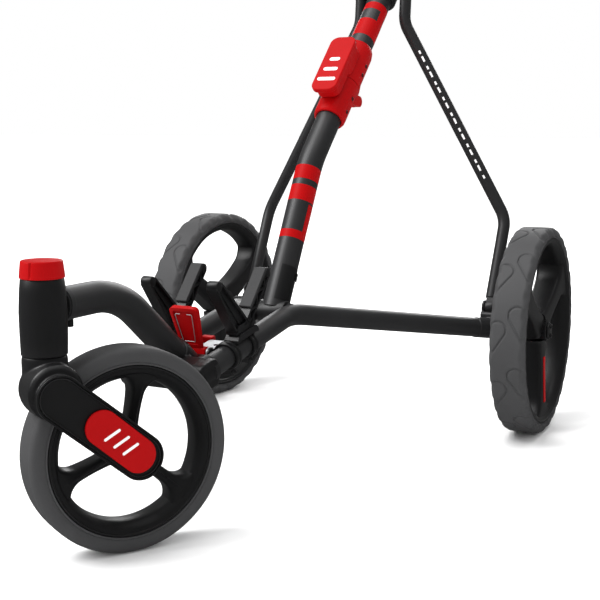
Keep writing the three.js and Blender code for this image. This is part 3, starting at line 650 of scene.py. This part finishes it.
BADGE_TOP, BADGE_FOOT = (42.5, 147), (81.5, 112.5)
badge = prism(capsule(BADGE_TOP, BADGE_FOOT, 18.4, 32), 42.3, 45.2)
piece("badge_look", [badge], "front_swivel", "red_plastic", SWIVEL, ["badge_plate"], bevel=0.9)
badge_lean = math.degrees(math.atan2(BADGE_FOOT[1] - BADGE_TOP[1], BADGE_FOOT[0] - BADGE_TOP[0]))
badge_middle = [(top + foot) / 2 for top, foot in zip(BADGE_TOP, BADGE_FOOT)]
BADGE = SWIVEL @ at(0, *badge_middle, about_x=badge_lean)
marks = [prism(capsule((y - 3, -8), (y + 3, 8), 1.5, 8), 45.1, 45.5) for y in (-13, 0, 13)]
piece("badge_marks", marks, "front_swivel", "white_print", BADGE, slot="red_plastic")

# ------------------------------------------------------------------ frame

BOOM_HEIGHT = 266.5
BOOM_BEND, BOOM_END = (0, -631, BOOM_HEIGHT), (0, -505, 164.3)
boom = swept(bent_path([(0, -731, BOOM_HEIGHT), BOOM_BEND, BOOM_END], 120, 20), 17.5)
piece("boom_look", [boom], "chassis", "coated_tube", replaces=["boom_tube"], sharp=50)
collar = swept(bent_path([(0, -729, BOOM_HEIGHT), (0, -722, BOOM_HEIGHT)], 1), 18.6, 17.6)
piece("boom_collar", [collar], "chassis", "coated_tube", bevel=0.5)
piece("boom_peg", [rod("z", 4.2, 241, 251, (0, -712, 0))], "chassis", "black_plastic")


def frame_tube():
    return [swept(bent_path([FRAME_FRONT, FRAME_BEND, FRAME_END], 70), 14, 12)]


both_sides("frame_tube_look", frame_tube, "chassis", "coated_tube", replaces=["frame_tube_{}"], sharp=50)

boom_end = Vector((0, BOOM_END[1] - FRAME_FRONT[1], BOOM_END[2] - FRAME_FRONT[2]))
boom_end = Matrix.Rotation(math.radians(-FRAME_SLOPE), 4, "X") @ boom_end
boom_drop = math.degrees(math.atan2(BOOM_HEIGHT - BOOM_END[2], BOOM_END[1] - BOOM_BEND[1])) + FRAME_SLOPE
tube_centres = [(side * FRAME_FRONT[0], 0, 0) for side in (-1, 1)]
casting = [
    prism(rounded(-10, -16.6, 30, 16.6, 9), -58, 58),
    block((-27, 27), (-4, 60), (-16, 5)),
    block((-23, 23), (52, 122), (-13.6, -6.4)),
    tilted(rod("y", 20.4, -28, 6, edge=3.5), at(*boom_end, about_x=-boom_drop)),
]
casting += [rod("y", 17.2, -2, 28, centre) for centre in tube_centres]
junction = piece("junction_look", casting, "chassis", "black_plastic", JUNCTION, ["junction_casting"])
softened(junction, 1.3, 4)
ring = [(20, 14.3), (20, 17.2), (21, 18.1), (29, 18.1), (30, 17.2), (30, 14.3)]
rings = [turned(ring, "y", 64, centre=centre) for centre in tube_centres]
piece("junction_rings", rings, "chassis", "black_plastic", JUNCTION)

# ------------------------------------------------------------------ bag cradle

CRADLE = JUNCTION @ at(42, 105.8, 0)
ARM_PLACE = CRADLE @ at(5, 0, 0)
REAR_ARM_ROOT, REAR_ARM_TIP = (3, 30.5), (61, 77)


def along_rear_arm():
    """The rear arm's length, and the frame whose y runs up the arm and whose z faces the bag."""
    rise = (REAR_ARM_TIP[0] - REAR_ARM_ROOT[0], REAR_ARM_TIP[1] - REAR_ARM_ROOT[1])
    lean = math.degrees(math.atan2(rise[1], rise[0]))
    return math.hypot(*rise), at(0, *REAR_ARM_ROOT, about_x=lean)


def cradle_clamp():
    """Two split rings round the frame tube, each with its screw below, under one saddle."""
    shells = []
    for y in (-38, 3):
        section = [(y, 14.4), (y, 16.6), (y + 1, 17.6), (y + 4, 17.6), (y + 4.6, 16.9), (y + 7.4, 16.9)]
        section += [(y + 8, 17.6), (y + 11, 17.6), (y + 12, 16.6), (y + 12, 14.4)]
        shells.append(turned(section, "y", 64))
        shells.append(block((-6, 6), (y + 0.5, y + 11.5), (-22.5, -15)))
        shells.append(cap_screw("x", 6, y + 6, -19, 3.0, 2.0))
    saddle = [(-28, 14), (-24, 15.5), (14, 15.5), (22, 14), (22, 19), (17, 24), (-22, 24), (-28, 18)]
    return shells + [prism(saddle, -4.8, 14.8)]


def strip(start, end, half_width=7.4, thick=1.5):
    """A flat bar with round edges, seen on edge from start to end."""
    return prism(capsule(start, end, thick, 6), -half_width, half_width)


def front_arm():
    """A beam that widens to its foot: two flanges, a recessed web with one raised rib, and a round head."""
    front_foot, rear_foot = (-24, 28), (5, 31)
    return [
        prism([front_foot, rear_foot, (-45, 95), (-56, 91)], -3.0, 3.0),
        strip(front_foot, (-55.5, 91)),
        strip(rear_foot, (-45.2, 96)),
        strip((-10, 31), (-50, 92), 4.6, 1.2),
        rod("x", 6.6, -7.6, 7.6, (0, -50.6, 93.5), edge=1.6),
    ]


def rear_arm():
    """Two flanges joined by slanted ribs, with a round head."""
    run, turn = along_rear_arm()
    shells = [strip((-5, z), (run, z)) for z in (-4.8, 4.8)]
    shells.append(rod("x", 6.4, -7.5, 7.5, (0, run, 0), edge=1.6))
    ribs = 5
    for i in range(ribs):
        a, b = (run - 5) * i / ribs, (run - 5) * (i + 1) / ribs
        rise = 4.4 if i % 2 else -4.4
        shells.append(strip((a, rise), (b, -rise), 6.8, 1.3))
    return [tilted(shell, turn) for shell in shells]


def cradle_arm():
    foot = prism([(-26, 24.3), (20, 24.3), (20, 29), (13, 34), (-20, 34), (-26, 29)], -7.4, 7.4)
    return [foot] + front_arm() + rear_arm()


def cradle_pad():
    run, turn = along_rear_arm()
    profile = [(17, 6.4), (17, 9.4), (18, 10.4), (run - 4, 10.4)]
    profile += arc(run - 1, 7.2, 3.2, 90, 0, 6) + [(run + 2.2, 6.4)]
    return [tilted(prism(profile, -8.2, 8.2), turn)]


both_sides(
    "cradle_clamp_look", cradle_clamp, "chassis", "black_plastic", CRADLE, ["cradle_clamp_{}"], bevel=0.5)
both_sides(
    "cradle_arm_look", cradle_arm, "chassis", "black_plastic", ARM_PLACE, ["cradle_arm_{}"], bevel=0.35)
both_sides("cradle_pad_look", cradle_pad, "chassis", "pad_rubber", ARM_PLACE, ["cradle_pad_{}"], bevel=0.8)

# ------------------------------------------------------------------ latch

LATCH_PIN = (66, 5)  # across the junction's y and z
LEVER = JUNCTION @ at(0, *LATCH_PIN, about_x=100)


def lever_face(half_top, half_low, top, low, r):
    """The lever seen from the front: round corners at the top, a little narrower at the foot."""
    corners = arc(half_top - r, top - r, r, 0, 90, 8) + arc(r - half_top, top - r, r, 90, 180, 8)
    return corners + [(-half_low, low), (half_low, low)]


lever_outline = lever_face(19.6, 13.5, 61, 4, 5.5)
lever_shells = [
    prism(lever_outline, -2.6, 2.2, "z"),
    prism(lever_outline, 2.0, 4.4, "z", cut=lever_face(15, 10.5, 56.5, 12, 3.5)),
    rod("x", 6.8, -19.8, 19.8),
    prism([(-6, 1), (7, 1), (7, 4.4), (-1, 8.6), (-6, 7.2)], -19.4, 19.4),
]
piece("latch_lever_look", lever_shells, "latch_lever", "red_plastic", LEVER, ["latch_lever"], bevel=0.7)
bail_corners = [(-5, 53), (-12, 53), (-8.5, 16), (8.5, 16), (12, 53), (5, 53)]
bail = bent_path([(x, y, 4.6) for x, y in bail_corners], 1.6, 5)
bail = swept(bail, 0.45, sides=16, across=Vector((0, 0, 1)))
piece("latch_bail", [bail], "latch_lever", "steel", LEVER)

keeper = block((-21, -4), (113, 121), (-3.8, 5))
piece("latch_keeper", [keeper], "chassis", "red_plastic", JUNCTION, bevel=1.2)


def latch_pin_cap():
    profile = [(22.8, 3.1), (22.8, 6.6), (24.6, 6.6), (25.8, 5.2), (25.8, 0), (24.3, 0), (24.3, 3.1)]
    return [turned(profile, "x", 40, centre=(0, *LATCH_PIN))]


both_sides("latch_pin_cap", latch_pin_cap, "chassis", "black_plastic", JUNCTION)
half_plate = [(22.6, 59), (22.6, 112), (20, 118), (14, 121)]
plate = prism(half_plate + mirrored(half_plate), -5.9, -3.9, "z")
step = [
    prism(rounded(-6, 83, 22.4, 111, 3), 1.2, 3.0, "z", cut=rounded(9, 93, 15, 99, 2.4)),
    block((-6, -4.4), (86, 108), (-4, 1.4)),
    block((20.8, 22.4), (86, 108), (-4, 1.4)),
]
ears = [prism(capsule((LATCH_PIN[0], -1), LATCH_PIN, 6.6, 12), x, x + 2.2) for x in (-22.6, 20.4)]
piece("latch_plate_look", [plate] + step + ears, "chassis", "steel", JUNCTION, ["latch_plate"], bevel=0.4)

# ------------------------------------------------------------------ hinge bracket, hub brackets

pivot_y, pivot_z = MAST_PIVOT.y, MAST_PIVOT.z


def hinge_wall():
    """A cheek beside the mast's foot, with the hinge bolt's head on it."""
    front, back, foot = pivot_y - 32, pivot_y + 37, pivot_z - 11.5
    outline = arc(pivot_y, pivot_z, 12.8, 10, 170, 16)
    outline += [(front, pivot_z + 6), (front, foot), (back, foot), (back, pivot_z + 5)]
    return [prism(outline, 21.2, 27.4), cap_screw("x", 27.2, pivot_y, pivot_z, 6.4, 3)]


both_sides("mast_hinge_wall", hinge_wall, "chassis", "black_plastic", bevel=0.8)
bridge = prism(rounded(pivot_y + 28.5, pivot_z - 11.5, pivot_y + 37.5, pivot_z + 5.5, 3), -39, 39)
piece(
    "mast_hinge_bracket_look", [bridge], "chassis", "black_plastic", replaces=["mast_hinge_bracket"],
    bevel=0.8)

tube_heading = Vector(FRAME_END) - Vector(FRAME_BEND)
HUB_SLEEVE = Matrix.Translation(FRAME_END) @ tube_heading.to_track_quat("Y", "Z").to_matrix().to_4x4()


def hub_bracket():
    """A sleeve on the frame tube, a boss for the axle, and two ears for the strut."""
    sleeve = tilted(rod("y", 14.9, -14, 20, edge=1), HUB_SLEEVE)
    boss = tilted(rod("x", 14.9, -74, -36, edge=4), REAR_WHEEL)
    lug = prism(rounded(-12, 150, 15, 172, 5), 196, 216)
    ears = [prism(capsule((3, 160), (3, 178), 9.6), x, x + 3.8) for x in (195.6, 212.6)]
    return [sleeve, boss, lug] + ears


def strut_pin():
    return [rod("x", 3.9, 194, 218, (0, 3, 178)), cap_screw("x", 216.4, 3, 178, 6, 3)]


brackets = both_sides(
    "hub_bracket_look", hub_bracket, "chassis", "coated_tube", replaces=["hub_bracket_{}"])
for bracket in brackets:
    softened(bracket, 1.0, 5)
both_sides("strut_pin_look", strut_pin, "chassis", "steel", replaces=["strut_pin_{}"])

# ------------------------------------------------------------------ mast and coupler

MAST_START = 4  # where the lower tube begins, along the mast from its pivot
MAST_BEND = 150
foot_place = Matrix.Translation(MAST_PIVOT) @ LOWER_AXIS.to_track_quat("Z", "Y").to_matrix().to_4x4()
foot_shells = [
    rod("x", 15.8, -20.3, 20.3, (0, pivot_y, pivot_z), edge=1.5),
    tilted(rod("z", 15.7, -2, 17), foot_place),
]
piece("mast_foot_look", foot_shells, "lower_mast", "black_plastic", replaces=["mast_foot"])

mast_corners = [MAST_PIVOT + LOWER_AXIS * MAST_START, KNEE, KNEE + UPPER_AXIS * 149.4]
lower_mast = swept(bent_path(mast_corners, MAST_BEND, 16), 18, 16)
piece("lower_mast_look", [lower_mast], "lower_mast", "coated_tube", replaces=["lower_mast_tube"], sharp=50)
upper_mast = turned([(150.6, 16), (150.6, 18), (765, 18), (765, 16)], "z", 64)
piece("upper_mast_look", [upper_mast], "upper_mast", "coated_tube", MAST, ["upper_mast_tube"])


def up_from_pivot(start, end):
    """A straight path up the lower mast, between two distances from its pivot."""
    return bent_path([MAST_PIVOT + LOWER_AXIS * s for s in (start, end)], 1)


rear_sleeve = swept(up_from_pivot(14, 64), 18.5, 17.9, start=-75, end=75)
catch = swept(up_from_pivot(48, 58), 20.2, 18.6, start=8, end=34)
piece("mast_rear_sleeve", [rear_sleeve, catch], "lower_mast", "black_plastic", bevel=0.2)


def run_along(stations, start, end, step=3.0):
    """The part of a path between two lengths, measured from its first station."""
    lengths = [0.0]
    for (a, _), (b, _) in zip(stations, stations[1:]):
        lengths.append(lengths[-1] + (b - a).length)

    def station_at(length):
        k = max(i for i, reached in enumerate(lengths[:-1]) if reached <= length)
        t = (length - lengths[k]) / (lengths[k + 1] - lengths[k])
        (a, leaving), (b, arriving) = stations[k], stations[k + 1]
        return a.lerp(b, t), leaving.lerp(arriving, t).normalized()

    count = max(1, math.ceil((end - start) / step))
    return [station_at(start + (end - start) * i / count) for i in range(count + 1)]


def band(stations, start, end, low=0.0, high=360.0):
    """A painted area on the mast: a thin skin round the tube."""
    return swept(run_along(stations, start, end), 18.14, 17.9, 64, start=low, end=high)


lower_path = bent_path(mast_corners, MAST_BEND, 40)
lower_stripes = ((104, 115.5), (160, 183), (192, 212))
stripes = [band(lower_path, a - MAST_START, b - MAST_START) for a, b in lower_stripes]
stripes.append(band(lower_path, 111.5, 153, -19, 42))
piece("lower_mast_stripes", stripes, "lower_mast", "red_plastic", sharp=50)

PATH_START = 226  # the coupler's upper end, along the mast from its knee
upper_path = bent_path([(0, 0, PATH_START), (0, 0, 340)], 1)
stripes = [band(upper_path, a - PATH_START, b - PATH_START) for a, b in ((243, 277), (298, 312))]
stripes.append(band(upper_path, 50, 74, -30, 20))
piece("upper_mast_stripes", stripes, "upper_mast", "red_plastic", MAST, sharp=50)

HINGE = (33, 150)  # the coupler's pin, behind the mast's axis and along it
FACE = Matrix(((1, 0, 0, 0), (0, 0, -1, 0), (0, 1, 0, 0), (0, 0, 0, 1)))  # stands a flat shape up, z forward


def coupler_screws(places):
    return [cap_screw("x", 22.7, 1, s, 3.0, 1.5) for s in places]


lower_profile = [(82, 18.5), (82, 20.8), (83, 22), (86, 23.2), (92, 23.5), (148.8, 23.5), (149.6, 22.9)]
lower_shells = [turned(lower_profile + [(149.6, 18.5)], "z", 96)]
lower_shells += [prism(capsule((14, 138), HINGE, 8.0, 12), x, x + 6.8) for x in (-15.9, 9.1)]
piece(
    "coupler_lower_look", lower_shells, "lower_mast", "red_plastic", MAST, ["coupler_lower_shell"], bevel=0.6)

upper_profile = [(150.3, 18.5), (150.3, 22.9), (151.1, 23.5), (214, 23.5), (222, 22.2), (225, 20.8)]
fin = [(15, 151), (HINGE[0], 151)] + arc(*HINGE, 8.3, 0, 75, 8)
fin += [(33, 171), (27, 188), (22.5, 205), (19, 218), (15, 218)]
upper_shells = [
    turned(upper_profile + [(226, 19.6), (226, 18.5)], "z", 96),
    prism(fin, -8.3, 8.3),
    rod("x", 8.3, -8.3, 8.3, (0, *HINGE)),
    tilted(prism(rounded(-18, 150.6, 18, 201, 9), 18, 37.2, "z"), FACE),
    tilted(prism(rounded(-17.6, 103, 17.6, 165, 10), 24.4, 37.2, "z"), FACE),
]
piece(
    "coupler_upper_look", upper_shells, "upper_mast", "red_plastic", MAST, ["coupler_upper_shell"], bevel=0.8)
piece("coupler_screws_lower", coupler_screws((98, 124)), "lower_mast", "black_plastic", MAST)
piece("coupler_screws_upper", coupler_screws((172, 190)), "upper_mast", "black_plastic", MAST)

button = tilted(prism(rounded(-20.2, 97.2, 20.2, 204.8, 12.5, 10), 37.7, 46, "z"), FACE)
piece("release_slider_look", [button], "release", "red_plastic", MAST, ["release_slider"], bevel=2.0)
bars = []
for s, half in ((118, 11), (138, 8), (158, 5)):
    bar = prism(capsule((-half, s), (half, s), 3.2, 10), 45.8, 46.25, "z")
    bars.append(tilted(bar, FACE))
piece("release_marks", bars, "release", "white_print", MAST, slot="red_plastic")


def mast_ring(middle, half):
    """A collar round the mast with softened edges."""
    low, high = middle - half, middle + half
    profile = [(low, 18.4), (low, 23), (low + 1, 24), (high - 1, 24), (high, 23), (high, 18.4)]
    return turned(profile, "z", 72)


YOKE_S = 352.6  # along the mast from its knee
yoke = [mast_ring(YOKE_S, 17)]
yoke += [rod("x", 12, start, start + 8.2, (0, 0, YOKE_S)) for start in (20, -28.2)]
piece("strut_yoke_look", yoke, "upper_mast", "black_plastic", MAST, ["strut_yoke"])

# ------------------------------------------------------------------ struts

STRUT_LOW = Vector((206, 3, 178))
STRUT_BEND_LOW = Vector((206, 63, 305))
STRUT_BEND_HIGH = Vector((37.6, 58.8, 602))
STRUT_TOP = KNEE + UPPER_AXIS * YOKE_S + Vector((37.6, 0, 0))


def strut():
    """A tube with two bends, a tang and an eye at its foot and a round head at the yoke."""
    rise = (STRUT_BEND_LOW - STRUT_LOW).normalized()
    fall = (STRUT_BEND_HIGH - STRUT_TOP).normalized()
    corners = [STRUT_LOW + rise * 14, STRUT_BEND_LOW, STRUT_BEND_HIGH, STRUT_TOP + fall * 2]
    lean = -math.degrees(math.atan2(rise.y, rise.z))
    tang = tilted(prism(rounded(-6.5, -4, 6.5, 30, 3), 200.4, 211.6), at(0, 3, 178, about_x=lean))
    eye = rod("x", 8.8, 200.3, 211.8, (0, 3, 178))
    head = rod("x", 10.8, 28.7, 47.3, (0, STRUT_TOP.y, STRUT_TOP.z), edge=2)
    return [swept(bent_path(corners, 45, 14), 9, sides=40), tang, eye, head]


both_sides("strut_look", strut, "strut_{}", "coated_tube", replaces=["strut_{}"], sharp=50)


def strut_dashes():
    """A row of thin plain dashes, long and short by turns, printed along the outer face of the strut."""
    run = STRUT_BEND_HIGH - STRUT_BEND_LOW
    heading = run.normalized()
    outward = Vector((0.2, -1, 0.35))
    outward = (outward - heading * outward.dot(heading)).normalized()
    dashes = []
    for i in range(17):
        length = 9.0 if i % 2 else 5.5
        a = STRUT_BEND_LOW + heading * (run.length * 0.2 + i * 13.5)
        stations = [(a + heading * length * t, heading) for t in (0, 0.5, 1)]
        dashes.append(swept(stations, 9.1, 8.9, 6, outward, -9, 9))
    return dashes


piece("strut_dashes", strut_dashes(), "strut_right", "white_print", slot="coated_tube")

# ------------------------------------------------------------------ upper bag rest and handle

REST_S = 455  # along the mast from its knee
BAG_R = 115
REST_FACE = 46  # the bag's surface in front of the mast's axis
HANDLE_REACH, HANDLE_RISE, HANDLE_HALF = 118, 30, 152


def bag_band(start, end, thick=10.0, height=26.0, ease=0.0):
    """Part of a band round the bag, between two angles from straight ahead."""
    outer = arc(0, -REST_FACE - BAG_R, BAG_R + thick, 90 - start, 90 - end, 20)
    inner = arc(0, -REST_FACE - BAG_R, BAG_R + ease, 90 - end, 90 - start, 20)
    return prism(outer + inner, REST_S - height / 2, REST_S + height / 2, "z")


def bag_rest_arm():
    return [bag_band(16.3, 57.8, ease=3.2)]


def bag_rest_pad():
    return [bag_band(18.5, 57, thick=3.0, height=22)]


rest = [mast_ring(REST_S, 13), block((-15.8, 15.8), (-40, -19), (442, 468)), bag_band(-16, 16)]
piece("bag_rest_look", rest, "upper_mast", "black_plastic", MAST, ["bag_rest_bracket"], bevel=1.2)
both_sides(
    "bag_rest_arm_look", bag_rest_arm, "upper_mast", "black_plastic", MAST, ["bag_rest_arm_{}"], bevel=1.5)
both_sides("bag_rest_arm_pad", bag_rest_pad, "upper_mast", "pad_rubber", MAST, bevel=1.0)

socket = [(735, 18.4), (735, 21.5), (736, 22.5), (778, 22.5), (784, 18), (784, 0), (765.5, 0), (765.5, 18.4)]
sleeve = [(-34, 12.4), (-34, 18), (-33, 19), (33, 19), (34, 18), (34, 12.4)]
handle_shells = [turned(socket, "z", 72), turned(sleeve, "x", 72, centre=(0, 0, HANDLE_S))]
piece("handle_block_look", handle_shells, "upper_mast", "black_plastic", MAST, ["handle_block"], bevel=0.5)

corners = [(x, 0, 0) for x in (-HANDLE_HALF, HANDLE_HALF)]
ends = [(x, HANDLE_REACH, HANDLE_RISE) for x in (-HANDLE_HALF, HANDLE_HALF)]
handle_path = bent_path([ends[0], *corners, ends[1]], 36, 16)
handle = swept(handle_path, 12, sides=40, across=Vector((0, 0, 1)))
piece("handle_bar_look", [handle], "handle", "coated_tube", HANDLE, ["handle_bar"], sharp=50)

GRIP = HANDLE @ at(HANDLE_HALF, 0, 0, about_x=math.degrees(math.atan2(HANDLE_RISE, HANDLE_REACH)))
grip_end = math.hypot(HANDLE_REACH, HANDLE_RISE)


def grip_ribs(angle, along, radius):
    """Narrow rings pressed into the grip every 5 mm."""
    if radius <= 15 or not 44 < along < grip_end - 8:
        return 0
    return -0.7 * (0.5 + 0.5 * math.cos(along * 2 * math.pi / 5)) ** 4


def grip():
    profile = [(36, 12.3), (36, 14), (37, 15.5), (40, 16)]
    profile += [(y, 16) for y in range(42, int(grip_end) - 4)]
    profile += [(grip_end - 2, 15.9), (grip_end + 2, 15), (grip_end + 3.8, 12), (grip_end + 4, 0)]
    profile += [(grip_end + 0.4, 0), (grip_end + 0.4, 12.3)]
    return [turned(profile, "y", 64, grip_ribs)]


both_sides("grip_look", grip, "handle", "pad_rubber", GRIP, ["grip_{}"], sharp=60)

# ------------------------------------------------------------------ floor, light and camera

bpy.ops.mesh.primitive_plane_add(size=60, location=(0, 0, 0))
floor = bpy.context.object
floor.name = "floor"
pale = material("studio_floor", (0.92, 0.92, 0.92), 0.9, grain=40, bump=0.0, blotch=0.005)
floor.data.materials.append(pale)
floor.visible_glossy = False

bpy.context.scene.view_settings.view_transform = "Standard"
world = bpy.data.worlds.new("studio")
bpy.context.scene.world = world
world.use_nodes = True
sky, sky_links = world.node_tree.nodes, world.node_tree.links
rays = sky.new("ShaderNodeLightPath")


def sky_level(ray, seen, otherwise):
    """The room's brightness: one level for a kind of ray, another for the rest."""
    level = sky.new("ShaderNodeMapRange")
    level.inputs["To Max"].default_value = seen
    if isinstance(otherwise, float):
        level.inputs["To Min"].default_value = otherwise
    else:
        sky_links.new(otherwise, level.inputs["To Min"])
    sky_links.new(rays.outputs[ray], level.inputs["Value"])
    return level.outputs["Result"]


background = sky["Background"]
background.inputs["Color"].default_value = (1, 1, 1, 1)
off_camera = sky_level("Is Glossy Ray", 0.16, 0.8)
sky_links.new(sky_level("Is Camera Ray", 1.0, off_camera), background.inputs["Strength"])


def softbox(name, where, target, size, watts):
    """A rectangular lamp that the camera does not see."""
    light = bpy.data.lights.new(name, "AREA")
    light.shape = "RECTANGLE"
    light.size, light.size_y = size
    light.energy = watts
    lamp = bpy.data.objects.new(name, light)
    lamp.location = where
    lamp.rotation_euler = (Vector(target) - Vector(where)).to_track_quat("-Z", "Y").to_euler()
    lamp.visible_camera = False
    bpy.context.scene.collection.objects.link(lamp)


def distant(name, direction, strength, spread):
    """A broad far-off lamp that shines along a direction; spread is its apparent size in radians."""
    light = bpy.data.lights.new(name, "SUN")
    light.energy = strength
    light.angle = spread
    lamp = bpy.data.objects.new(name, light)
    lamp.rotation_euler = Vector(direction).to_track_quat("-Z", "Y").to_euler()
    bpy.context.scene.collection.objects.link(lamp)


distant("sun", (0.45, 0.35, -1), 2.2, 0.7)
softbox("key", (-1.9, -1.8, 2.2), (0.1, 0, 0.2), (1.2, 1.8), 55)
softbox("overhead", (0.2, 0.3, 3.4), (0.2, 0.1, 0), (2.4, 2.4), 30)
softbox("rim", (-0.9, 3.0, 1.6), (0, 0, 0.3), (3.0, 1.2), 60)

CAMERA_PLACE = Vector((775.47, -1647.25, 449.52))
CAMERA_DOWN, CAMERA_TURN = 8.62, 28.37  # degrees below level, and round from looking along y
camera_data = bpy.data.cameras.new("camera")
camera_data.sensor_width = 36
camera_data.lens = 70.24
camera = bpy.data.objects.new("camera", camera_data)
camera.location = DESIGN @ CAMERA_PLACE
camera.rotation_euler = (math.radians(90 - CAMERA_DOWN), 0, math.radians(CAMERA_TURN))
bpy.context.scene.collection.objects.link(camera)
bpy.context.scene.camera = camera
